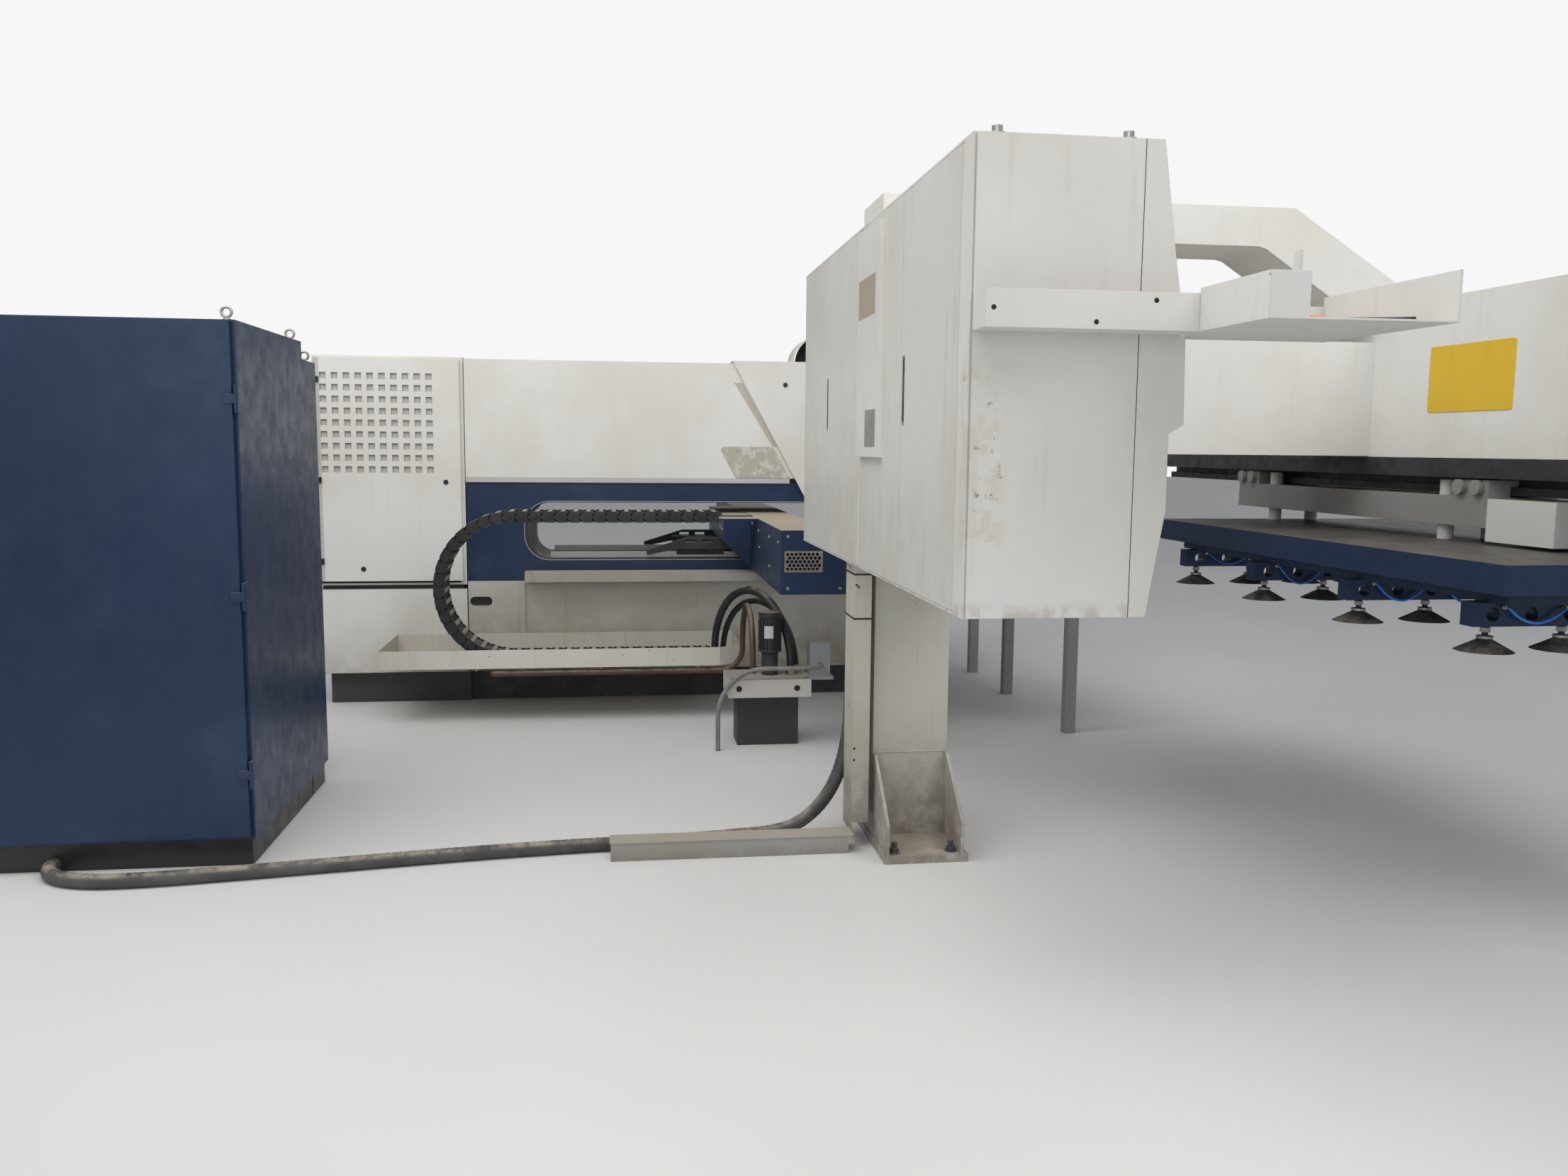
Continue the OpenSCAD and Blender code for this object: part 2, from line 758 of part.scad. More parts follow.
module column_base() {
  plate_t = 30;
  gusset_t = 12;
  reach = 270;
  front_h = 150;
  top_h = 360;
  color(aged_white) {
    block(column_x0 - 6, column_x1 + 18, column_y - reach, column_y + column_d + 60, 0, plate_t);
    for (x = [column_x0, column_x1 - gusset_t])
      along(x, x + gusset_t)
        polygon([[column_y - reach, plate_t - tiny], [column_y - reach, front_h],
          [column_y - 30, top_h], [column_y, top_h], [column_y, plate_t - tiny]]);
  }
}

module anchor_bolts() {
  plate_t = 30;
  color(dark_steel)
  for (x = [column_x0 + 40, column_x1 - 40], y = [column_y - 225, column_y + column_d + 30])
    translate([x, y, plate_t]) {
      cylinder(h = 4, r = 22);
      cylinder(h = 20, r = 17, $fn = 6);
      cylinder(h = 42, r = 10);
    }
}

module cable_channel() {
  sheet = 3;
  color(aged_white) {
    difference() {
      block(channel_x0, channel_x1, channel_y0, channel_y1, 100, raised_z);
      block(channel_x0 + sheet, channel_x1 - sheet, channel_y0 + sheet, channel_y1 + 1, 99, raised_z + 1);
    }
    block(channel_x0, channel_x0 + sheet, channel_y0, channel_y1, 60, 100 + tiny);
  }
}

module floor_duct() {
  duct_x0 = -1640;
  duct_w = 95;
  duct_h = 68;
  lid = 4;
  color(grey_steel) {
    block(duct_x0, channel_x0 - 20, channel_y0 - duct_w / 2 - 12, channel_y0 + duct_w / 2 - 12, 0, duct_h);
    block(duct_x0 - lid, channel_x0, channel_y0 - duct_w / 2 - 16, channel_y0 + duct_w / 2 - 8, duct_h, duct_h + lid);
  }
}

// Folded cable ways on the near end of the raised cabinet
module cable_tray() {
  x0 = raised_x0 + 8;
  color(white_paint)
  difference() {
    block(x0, tray_x1, raised_y0 - tray_d, raised_y0, tray_z, tray_z + tray_h);
    block(x0 + tray_t, tray_x1 + 1, raised_y0 - tray_d + tray_t, raised_y0 + 1, tray_z + tray_t, tray_z + tray_h + 1);
  }
}

module cable_pan() {
  lane = 95;
  lip = 12;
  back_x = raised_x1 + 135;
  color(white_paint) {
    block(tray_x1, pan_x1, pan_y0, raised_y0 - tray_t, tray_z, tray_z + tray_t);
    block(back_x, pan_x1, raised_y0 - tray_t - tiny, pan_y1, tray_z, tray_z + tray_t);
    block(tray_x1, tray_x1 + tray_t, pan_y0, raised_y0 - tray_d, tray_z, tray_z + tray_h + lip);
    block(tray_x1, tray_x1 + lane, pan_y0, pan_y0 + tray_t, tray_z, tray_z + tray_h + lip);
    block(tray_x1 + lane - tray_t, tray_x1 + lane, pan_y0, pan_y0 + 200, tray_z, tray_z + tray_h + lip);
    block(pan_x1 - tray_t, pan_x1, pan_y0, pan_y1, tray_z, tray_z + tray_h + 2 * lip);
    block(back_x, pan_x1, pan_y1 - tray_t, pan_y1, tray_z, tray_z + tray_h);
    along(tray_x1 + lane - tray_t, tray_x1 + lane)
      polygon([[pan_y0 + 40, tray_z + tray_h], [pan_y0 + 40, tray_z + tray_h + 62],
        [pan_y0 + 62, tray_z + tray_h + 62], [pan_y0 + 80, tray_z + tray_h]]);
  }
}

// Gooseneck arm from the column over the cabinet to the beam
module bridge_arm() {
  color(white_paint)
  across(column_y - 4, arm_y1)
    polygon([[post_x0 - 20, arm_z], [beam_x0 - 520, arm_z], [beam_x0 - 488, arm_z - 8],
      [beam_x0, beam_top - 95], [beam_x0, beam_top], [beam_x1 - 67, beam_top],
      [beam_x0 - 374, arm_top], [post_x0 - 20, arm_top]]);
}

module cross_member() {
  color(white_paint) block(post_x1, beam_x0, member_y0, member_y1, member_z, member_top);
}

module loader_beam() {
  color(white_paint) block(beam_x0, beam_x1, beam_y0, beam_y1, beam_z, beam_top);
}

module beam_rail() {
  seat = 0.3;
  mid = (beam_x0 + beam_x1) / 2;
  color(black_plastic) {
    block(beam_x0, beam_x1, beam_y0, beam_y1, strip_z, beam_z);
    block(mid - tee_web / 2, mid + tee_web / 2, beam_y0, beam_y1, strip_z - tee_h - tiny, strip_z - seat);
    block(mid - tee_wide / 2, mid + tee_wide / 2, beam_y0, beam_y1, strip_z - 2 * tee_h, strip_z - tee_h);
  }
}

// Loader travelling on the beam
module loader_carriage() {
  x0 = beam_x0 + 15;
  x1 = beam_x1 - 15;
  mid = (beam_x0 + beam_x1) / 2;
  clear = 3;
  body_top = carriage_z[1] - 6;
  hook_l = 180;
  hook_top = strip_z - 6;
  lip_z = strip_z - tee_h + fit_gap;
  wheel_r = 27;
  box_l = 320;
  color(grey_steel)
  difference() {
    union() {
      block(x0, x1, carriage_y[0], carriage_y[1], carriage_z[0], body_top);
      for (y = [carriage_y[0], carriage_y[1] - hook_l], s = [0, 1])
        translate([s * 2 * mid, 0, 0]) mirror([s, 0, 0]) {
          block(x0, mid - tee_wide / 2 - clear, y, y + hook_l, body_top - tiny, hook_top);
          block(x0, mid - tee_web / 2 - clear, y, y + hook_l, lip_z, hook_top);
          for (dy = [45, hook_l - 45]) rod_x_axis(x0 - 22, x0 + tiny, y + dy, hook_top - wheel_r, wheel_r);
        }
    }
    for (x = rod_x, y = rod_y)
      translate([x, y, carriage_z[0] - 1]) cylinder(h = body_top - carriage_z[0] + 2, r = rod_r + fit_gap);
  }
  color(white_paint)
    block(x0, x1, carriage_y[0] - box_l, carriage_y[0], slab_top + 12, body_top - 4);
}

module suction_frame() {
  color(blue_paint) {
    block(slab_x0, slab_x1, slab_y0, slab_y1, slab_z, slab_top);
    block(slab_x0 + slab_rim, slab_x1 - slab_rim, slab_y0 + slab_rim, slab_y1 - slab_rim,
      arm_top_z, slab_z + tiny);
  }
  color(bare_metal)
  for (x = rod_x, y = rod_y)
    translate([x, y, slab_top - tiny]) cylinder(h = strip_z - 10 - slab_top, r = rod_r);
}

module suction_arms() {
  arm_w = 60;
  hole_r = 22;
  hole_pitch = 130;
  x0 = slab_x0 + 40;
  x1 = slab_x1 - 40;
  color(blue_paint)
  for (y = arm_rows)
    difference() {
      block(x0, x1, y - arm_w / 2, y + arm_w / 2, arm_low, arm_top_z);
      for (x = [x0 + 65 : hole_pitch : x1 - 60])
        rod_y_axis(x, y - arm_w, y + arm_w, (arm_low + arm_top_z) / 2, hole_r);
    }
}

module suction_cups() {
  stem_r = 9;
  cup_h = 38;
  color(black_plastic)
  for (y = arm_rows, i = [0 : cup_cols - 1]) {
    x = slab_x0 + 105 + i * (suction_w - 210) / (cup_cols - 1);
    translate([x, y, cup_z]) {
      cylinder(h = cup_h, r1 = cup_r, r2 = stem_r * 2);
      cylinder(h = arm_low - cup_z, r = stem_r);
    }
  }
}

// Cross rail carrying the sheet carriage
module cross_rail() {
  pocket = 60;
  plate_half = chain_w / 2 - side_t;
  color(blue_paint)
  difference() {
    union() {
      block(rail_x0, rail_x1, -rail_y, rail_y, rail_low, rail_top);
      across(-step_y, step_y)
        polygon([[step_x, rail_top - 2], [rail_x0 + tiny, rail_top - 2], [rail_x0 + tiny, rail_low],
          [step_x, rail_low + 157]]);
      block(rail_x1 - tiny, housing_x1, -rail_y, -rail_y + housing_y, rail_low, rail_top);
      block(chain_x0 - grip, rail_x0 + tiny, chain_y - plate_half, chain_y + plate_half, rail_top - 10, rail_top);
    }
    block(step_x - 1, rail_x1 + 1, -bridge_y, bridge_y, rail_low - 1, bridge_low);
    block(rail_x0 + 25, rail_x1 - 60, -rail_y - 1, -rail_y + pocket, grille_z - 45, grille_z + 45);
  }
}

module rail_grille() {
  plate_t = 3;
  cols = 8;
  rows = 5;
  pitch = 21;
  hole_r = 9;
  mid_x = rail_x0 + 112;
  color(black_plastic)
  difference() {
    block(rail_x0 + 18, rail_x1 - 53, -rail_y - plate_t, -rail_y, grille_z - 52, grille_z + 52);
    for (j = [0 : rows - 1], i = [0 : cols - 1])
      translate([mid_x + (i - (cols - 1) / 2) * pitch + (j % 2 - 0.5) * pitch / 2, 0,
        grille_z + (j - (rows - 1) / 2) * pitch * 0.866])
        across(-rail_y - plate_t - 1, -rail_y + 1)
          polygon([for (k = [0 : 5]) hole_r * [sin(60 * k), cos(60 * k)]]);
  }
}

module rail_saddle() {
  plate_y = [blue_face + 5, blue_face + 30];
  bearing_x = [step_x - 265, step_x + 25];
  foot_x = step_x - 448;
  rise_x = step_x - 198;
  bearing_half = 35;
  deck_z = throat_z + 75;
  lip_z = throat_z + 55;
  top_z = throat_z + 128;
  color(black_plastic)
  for (s = [0, 1]) mirror([0, s, 0]) {
    difference() {
      across(-plate_y[1], -plate_y[0])
        polygon([[foot_x, lip_z - 35], [foot_x, lip_z - 5], [rise_x, top_z], [step_x, top_z],
          [step_x, bridge_low], [block_x1, bridge_low], [block_x1, lip_z], [bearing_x[0] - 10, lip_z]]);
      for (x = [rise_x - 17, rise_x + 86])
        block(x, x + 62, -plate_y[1] - 1, -plate_y[0] + 1, top_z - 32, top_z - 16);
    }
    block(bearing_x[0], block_x1, -plate_y[0] - tiny, -guide_y + bearing_half, deck_z, deck_z + 18);
    block(step_x + 15, block_x1, -plate_y[0] - tiny, -guide_y + bearing_half, deck_z, bridge_low);
    difference() {
      block(bearing_x[0], bearing_x[1], -guide_y - bearing_half, -guide_y + bearing_half,
        throat_z + guide_h - 18, deck_z + tiny);
      block(bearing_x[0] - 1, bearing_x[1] + 1, -guide_y - guide_w / 2 - fit_gap,
        -guide_y + guide_w / 2 + fit_gap, throat_z, throat_z + guide_h + fit_gap);
    }
  }
}

// Sheet carriage with its clamps
module clamp_bar() {
  cheek_t = 12;
  cheek_top = sheet_z + 85;
  color(bare_metal) {
    block(rail_x1, bar_x1, -bar_l / 2, bar_l / 2, bar_low, bar_top);
    for (y = clamp_y) {
      for (s = [-1, 1])
        block(bar_x1 - tiny, jaw_pin_x + 20, y + s * clamp_half - cheek_t / 2, y + s * clamp_half + cheek_t / 2,
          sheet_z + 1, cheek_top);
      block(bar_x1, jaw_tip_x, y - clamp_half, y + clamp_half, sheet_z + 1, sheet_z + 1 + lip_t);
      rod_y_axis(jaw_pin_x, y - clamp_half, y + clamp_half, jaw_pin_z, jaw_pin_r);
    }
  }
}

module clamp_jaws() {
  half = clamp_half - 6 - fit_gap;
  hub_r = 15;
  tongue_z = sheet_z + 1 + lip_t + fit_gap;
  color(dark_steel)
  for (y = clamp_y)
    difference() {
      union() {
        rod_y_axis(jaw_pin_x, y - half, y + half, jaw_pin_z, hub_r);
        across(y - half, y + half)
          polygon([[jaw_pin_x - 8, tongue_z + 12], [jaw_pin_x + 20, tongue_z], [jaw_tip_x, tongue_z],
            [jaw_tip_x, tongue_z + 8], [jaw_pin_x + 10, jaw_pin_z + 12], [jaw_pin_x + 4, jaw_pin_z + 48],
            [jaw_pin_x - 12, jaw_pin_z + 48], [jaw_pin_x - 14, jaw_pin_z]]);
      }
      rod_y_axis(jaw_pin_x, y - half - 1, y + half + 1, jaw_pin_z, jaw_pin_r + fit_gap);
    }
}

module tool_cassettes() {
  body_w = 96;
  body_l = 88;
  low = bar_low + 4;
  tool_x = bar_x1 + 56;
  color([0.10, 0.22, 0.45])
  for (y = cassette_y) {
    difference() {
      block(bar_x1, bar_x1 + body_l, y - body_w / 2, y + body_w / 2, low, low + 30);
      translate([tool_x, y, low + 6]) cylinder(h = 40, r = 33);
      block(tool_x, bar_x1 + body_l + 1, y - 29, y + 29, low + 6, low + 40);
    }
  }
  color(bare_metal)
  for (y = cassette_y) translate([tool_x, y, low + 6 - tiny]) {
    cylinder(h = 34, r = 27);
    cylinder(h = 44, r = 16);
  }
}

// Punching head
module punch_ram() {
  color(bare_metal)
  difference() {
    translate([0, 0, ram_low]) cylinder(h = ram_top - ram_low, r = ram_r);
    translate([0, 0, ram_low - 1]) cylinder(h = spigot_l + 3, r = spigot_r + fit_gap);
  }
}

module tool_adapter() {
  tip_l = ram_stroke - 8;
  face_gap = 0.3;
  color(grey_steel)
  difference() {
    union() {
      translate([0, 0, adapter_z]) cylinder(h = ram_low - face_gap - adapter_z, r = adapter_r);
      translate([0, 0, adapter_z]) cylinder(h = ram_low - adapter_z + spigot_l, r = spigot_r);
      translate([0, 0, adapter_z - tip_l]) cylinder(h = tip_l + 1, r = punch_r);
    }
    for (s = [0 : 3]) rotate([0, 0, 45 + 90 * s])
      block(adapter_r - 8, adapter_r + 1, -9, 9, adapter_z - 1, ram_low);
  }
}

module die_adapter() {
  land = 25;
  color(grey_steel)
  difference() {
    translate([0, 0, die_seat + face_rest]) cylinder(h = sheet_z - die_seat - face_rest, r = adapter_r);
    translate([0, 0, die_seat]) cylinder(h = sheet_z - die_seat + 1, r = punch_r + 1);
    translate([0, 0, die_seat]) cylinder(h = sheet_z - land - die_seat, r = chute_r - 8);
    for (s = [0 : 3]) rotate([0, 0, 45 + 90 * s])
      block(adapter_r - 8, adapter_r + 1, -9, 9, sheet_z - 22, sheet_z + 1);
  }
}

// Point on the chain's line, s along it from the rail end
function chain_point(s) =
  s < upper_run ? [chain_x0 - s, chain_high]
  : s < upper_run + bend_run ? [bend_x - bend_r * sin((s - upper_run) / bend_r * 180 / PI),
    (chain_high + chain_low) / 2 + bend_r * cos((s - upper_run) / bend_r * 180 / PI)]
  : [bend_x + (s - upper_run - bend_run), chain_low];

// Side plate of a link: round nose at the far pivot, hollow at the near one
module link_plate() {
  difference() {
    union() {
      translate([0, -link_h / 2]) square([link_pitch, link_h]);
      translate([link_pitch, 0]) circle(link_h / 2);
    }
    circle(link_h / 2 + 0.6);
  }
}

// Links joined by the cables that run through them
module energy_chain() {
  bar_w = 20;
  bar_t = 6;
  cable_r = 12;
  cable_w = -16;
  cable_s = grip + 4;
  half = chain_w / 2;
  mid_z = (chain_high + chain_low) / 2;
  color(black_plastic)
  for (i = [0 : links - 1]) {
    a = chain_point(i * link_pitch);
    d = chain_point((i + 1) * link_pitch) - a;
    translate([a[0], chain_y, a[1]]) rotate([0, -atan2(d[1], d[0]), 0]) {
      across(-half, -half + side_t) link_plate();
      across(half - side_t, half) link_plate();
      for (w = [-link_h / 2, link_h / 2 - bar_t])
        block(link_pitch / 2 + 4, link_pitch / 2 + 4 + bar_w, -half + side_t - tiny, half - side_t + tiny, w, w + bar_t);
    }
  }
  color(dark_steel)
  for (dy = [-66, -22, 22, 66]) {
    rod_x_axis(bend_x, chain_x0 - cable_s, chain_y + dy, chain_high + cable_w, cable_r);
    rod_x_axis(bend_x, bend_x + lower_run - cable_s, chain_y + dy, chain_low - cable_w, cable_r);
    translate([bend_x, chain_y + dy, mid_z]) rotate([90, 0, 0]) rotate([0, 0, 90])
      rotate_extrude(angle = 180) translate([bend_r + cable_w, 0]) circle(cable_r, $fn = 24);
  }
}

module chain_tray() {
  sheet = 4;
  far_y = -blue_face - 12;
  near_y = chain_y - chain_w / 2 - 20;
  x0 = bend_x - 724;
  x1 = bend_x + 1276;
  cut_x = x1 - 130;
  cut_y = chain_y - 60;
  color(aged_white) {
    difference() {
      translate([0, 0, tray_floor - sheet]) linear_extrude(tray_top - tray_floor + sheet)
        polygon([[x0, near_y], [cut_x, near_y], [x1, cut_y], [x1, far_y], [x0, far_y]]);
      translate([0, 0, tray_floor]) linear_extrude(tray_top - tray_floor + 1)
        polygon([[x0 + sheet, near_y + sheet], [cut_x - 1, near_y + sheet], [x1 - sheet, cut_y + 3],
          [x1 - sheet, far_y - sheet], [x0 + sheet, far_y - sheet]]);
    }
    for (x = [bend_x - 214, bend_x + 476, x1 - 250])
      along(x, x + 8)
        polygon([[-blue_face, tray_floor - sheet + tiny], [near_y + 80, tray_floor - sheet + tiny],
          [near_y + 80, tray_floor - 30], [-blue_face, tray_floor - 110]]);
  }
}

// Brush tables on both sides of the head
module sheet_table() {
  leg = 60;
  plate_t = 16;
  brush_h = 12;
  slat = 46;
  slat_pitch = 58;
  plate_top = sheet_z - brush_h;
  frame_low = plate_top - plate_t - 60;
  rest_w = 50;
  for (s = [0, 1]) mirror([0, s, 0]) {
    color(grey_steel) {
      block(table_x0, table_x1, -table_y1, -table_y0, plate_top - plate_t, plate_top);
      difference() {
        block(table_x0 + 20, table_x1 - 20, -table_y1 + 20, -table_y0 - 1, frame_low, plate_top - plate_t + tiny);
        block(table_x0 + 60, table_x1 - 60, -table_y1 + 60, -table_y0 - 60, frame_low - 1, plate_top - plate_t - 1);
      }
      for (x = [table_x0 + 20, table_x1 - 20 - leg])
        block(x, x + leg, -table_y1 + 20, -table_y1 + 20 + leg, 0, frame_low + tiny);
      block(table_x0 + 20, frame_nose - 60, -table_y0 - rest_w, -table_y0 - 1, blue_z + ledge_h, frame_low + tiny);
      block(table_x1 - 20 - leg, table_x1 - 20, -table_y0 - leg, -table_y0 - 1, 0, frame_low + tiny);
    }
    color(black_plastic)
    for (y = [-table_y1 + 10 : slat_pitch : -table_y0 - slat])
      block(table_x0 + 5, table_x1 - 5, y, y + slat, plate_top - tiny, sheet_z);
  }
}

// Pump unit on its base below the rail's near end
module drive_unit() {
  motor_x = -815;
  motor_r = 61;
  motor_low = unit_top + 124;
  motor_h = 207;
  flange_t = 27;
  plate_low = unit_top - 94;
  plate_x = [-1045, -616];
  shelf_t = 16;
  fins = 16;
  color(white_paint)
    block(plate_x[0], plate_x[1], unit_y - 150, unit_y + 150, plate_low, unit_top);
  color(dark_steel) {
    block(plate_x[0] + 55, plate_x[1] - 54, unit_y - 60, unit_y + 140, 0, plate_low + tiny);
    translate([motor_x, unit_y, unit_top - tiny])
      cylinder(h = motor_low - unit_top + 2, r = motor_r - 18);
  }
  color(black_plastic)
  translate([motor_x, unit_y, motor_low]) {
    cylinder(h = motor_h, r = motor_r - 6);
    for (i = [0 : fins - 1]) rotate([0, 0, i * 360 / fins])
      block(motor_r - 10, motor_r, -2, 2, 10, motor_h - flange_t - 10);
    cylinder(h = 10, r = motor_r);
    translate([0, 0, motor_h - flange_t]) cylinder(h = flange_t, r = motor_r);
  }
  color(grey_steel) {
    block(plate_x[1], unit_box_x + 120, unit_y - 90, unit_y + 60, unit_top - 1 - shelf_t, unit_top - 1);
    block(unit_box_x, unit_box_x + unit_box_w, unit_box_y, unit_box_y + 110, unit_top - 1 - tiny, unit_top + 175);
  }
}

// Part of a round hose, bent about the Z axis
module hose_arc(at, start, angle, bend, r) {
  translate(at) rotate([0, 0, start]) rotate_extrude(angle = angle) translate([bend, 0]) circle(r);
}

// A hose that rises at its foot, arches over and comes down a span away
module hose_arch(foot, turn, span, rise, drop, r) {
  translate(foot) rotate([0, 0, turn]) {
    cylinder(h = rise, r = r);
    translate([span / 2, 0, rise]) rotate([90, 0, 0]) hose_arc([0, 0, 0], 0, 180, span / 2, r);
    translate([span, 0, rise - drop]) cylinder(h = drop, r = r);
  }
}

// Hoses from the chain's fixed end to the pump unit
module base_hoses() {
  pipe_r = 16;
  pipe_bend = 130;
  pipe_y = chain_y - 115;
  pipe_z = tray_floor - 35;
  pipe_x = [-2300, -1030];
  drain_r = 12;
  drain_bend = 240;
  drain_x = unit_box_x - 490;
  drain_y = unit_y - 166;
  elbow = 90;
  elbow_x = unit_box_x + unit_box_w / 2 - elbow;
  drain_z = unit_top - 181;
  color(black_plastic) {
    hose_arch([-1050, chain_y - 20, tray_floor], -62, 738, 78, 78 - unit_top + tray_floor, 22);
    hose_arch([-1000, chain_y + 10, tray_floor], -59, 660, 50, 50 - unit_top + tray_floor, 18);
  }
  color([0.22, 0.15, 0.11]) {
    rod_x_axis(pipe_x[0], pipe_x[1], pipe_y, pipe_z, pipe_r);
    translate([pipe_x[1], pipe_y, pipe_z + pipe_bend]) rotate([90, 0, 0])
      hose_arc([0, 0, 0], -90, 90, pipe_bend, pipe_r);
    hose_arch([pipe_x[1] + pipe_bend, pipe_y, pipe_z + pipe_bend], -90, 520, 10,
      pipe_z + pipe_bend + 10 - unit_top, pipe_r);
  }
  color(grey_steel) {
    translate([drain_x, drain_y, 0]) cylinder(h = drain_z, r = drain_r);
    translate([drain_x + drain_bend, drain_y, drain_z]) rotate([90, 0, 0])
      hose_arc([0, 0, 0], 90, 90, drain_bend, drain_r);
    rod_x_axis(drain_x + drain_bend, elbow_x, drain_y, drain_z + drain_bend, drain_r);
    hose_arc([elbow_x, drain_y + elbow, drain_z + drain_bend], -90, 90, elbow, drain_r);
    rod_y_axis(elbow_x + elbow, drain_y + elbow, unit_box_y, drain_z + drain_bend, drain_r);
  }
}

// Direction of a route at its point i
function heading(p, i) =
  let (d = p[min(i + 1, len(p) - 1)] - p[max(i - 1, 0)]) d / norm(d);

// Ring of a tube round point i of its route; the lean keeps the rings in step
function ring(p, i, r, sides, lean) =
  let (d = heading(p, i), c = cross(d, lean), u = c / norm(c), v = cross(u, d))
  [for (k = [0 : sides - 1]) p[i] + r * (cos(360 * k / sides) * u + sin(360 * k / sides) * v)];

// A round tube swept along its route, closed at both ends
module swept_tube(p, r, sides, lean) {
  last = (len(p) - 1) * sides;
  polyhedron(
    points = [for (i = [0 : len(p) - 1]) each ring(p, i, r, sides, lean)],
    faces = concat(
      [[for (k = [0 : sides - 1]) k], [for (k = [sides - 1 : -1 : 0]) last + k]],
      [for (i = [0 : len(p) - 2], k = [0 : sides - 1])
        let (a = i * sides + k, b = i * sides + (k + 1) % sides) [b, a, a + sides, b + sides]]));
}

// Hose from the raised cabinet along the floor to the blue cabinet
module floor_hose() {
  color(grey_steel) swept_tube(hose_route, hose_r, 12, [1, 0, -1]);
}

c_frame();
base_plinth();
throat_covers();
upper_cover();
trim_strips();
head_cover();
lower_panels();
guide_ledge();
guide_rails();
vent_hood();
power_cabinet();
power_base();
power_hinges();
vented_door();
upper_lock();
lower_lock();
blue_cabinet();
blue_cabinet_rear();
blue_door();
blue_handle();
lifting_eyes();
raised_cabinet();
rear_housing();
raised_door_1();
raised_door_2();
raised_door_3();
raised_door_4();
door_cover_plate();
near_handle();
far_handle();
column();
column_base();
anchor_bolts();
cable_channel();
floor_duct();
cable_tray();
cable_pan();
bridge_arm();
cross_member();
loader_beam();
beam_rail();
loader_carriage();
suction_frame();
suction_arms();
suction_cups();
cross_rail();
rail_grille();
rail_saddle();
clamp_bar();
clamp_jaws();
tool_cassettes();
punch_ram();
tool_adapter();
die_adapter();
energy_chain();
chain_tray();
sheet_table();
drive_unit();
base_hoses();
floor_hose();
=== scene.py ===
"""Looks of the punch press: camera, hoses, finishes and the small fittings on the CAD frame."""

from math import cos, hypot, pi, radians, sin

import bmesh
import bpy
from mathutils import Matrix, Vector


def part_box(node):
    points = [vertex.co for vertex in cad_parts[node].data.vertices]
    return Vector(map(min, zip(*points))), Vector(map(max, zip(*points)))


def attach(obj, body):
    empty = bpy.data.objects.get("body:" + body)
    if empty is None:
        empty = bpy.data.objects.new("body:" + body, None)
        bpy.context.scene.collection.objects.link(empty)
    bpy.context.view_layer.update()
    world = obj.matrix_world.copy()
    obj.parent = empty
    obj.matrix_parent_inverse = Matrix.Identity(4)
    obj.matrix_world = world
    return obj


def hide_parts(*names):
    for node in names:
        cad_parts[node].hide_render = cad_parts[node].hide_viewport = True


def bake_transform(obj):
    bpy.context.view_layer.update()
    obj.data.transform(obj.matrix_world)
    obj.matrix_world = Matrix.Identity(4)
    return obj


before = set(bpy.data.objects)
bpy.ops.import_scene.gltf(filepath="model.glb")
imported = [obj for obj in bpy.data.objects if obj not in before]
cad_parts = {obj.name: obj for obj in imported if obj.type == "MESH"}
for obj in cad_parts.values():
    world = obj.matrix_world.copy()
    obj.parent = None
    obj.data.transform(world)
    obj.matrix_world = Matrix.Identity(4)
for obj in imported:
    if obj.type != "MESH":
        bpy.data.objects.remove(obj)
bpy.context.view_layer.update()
MM = 0.001
SUNK = 0.5 * MM


def mm(*values):
    """A point in millimetres of the part's source, as metres."""
    return Vector([v * MM for v in values])


def corners(node):
    """The lowest and the highest corner of a CAD node."""
    low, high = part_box(node)
    return Vector(low), Vector(high)


def new_object(name, data):
    obj = bpy.data.objects.new(name, data)
    bpy.context.scene.collection.objects.link(obj)
    return obj


# Camera, solved from the photograph's straight edges
CAMERA_AT = (-1.620, -7.800, 1.550)
CAMERA_RIGHT = Vector((0.99053385, -0.13699278, 0.00869911))
CAMERA_DOWN = Vector((-0.00712331, -0.1145861, -0.99338778))
CAMERA_FORWARD = Vector((0.13708375, 0.98392226, -0.11447726))
FOCAL_PX = 1731
PHOTO_W = 2212
SENSOR = 36.0
FAR_CLIP = 100


def add_camera():
    data = bpy.data.cameras.new("camera")
    data.sensor_width = SENSOR
    data.lens = SENSOR * FOCAL_PX / PHOTO_W
    data.clip_end = FAR_CLIP
    camera = new_object("camera", data)
    turn = Matrix((CAMERA_RIGHT, -CAMERA_DOWN, -CAMERA_FORWARD)).transposed()
    camera.matrix_world = Matrix.Translation(CAMERA_AT) @ turn.to_4x4()
    bpy.context.scene.camera = camera


add_camera()
bpy.context.scene.view_settings.view_transform = "Standard"

# Node helpers
AXIS_SHIFT = Vector((1.0, 0.7, 1.3))
FOLD_SAMPLES = 4
MASK_SOFT = 0.002


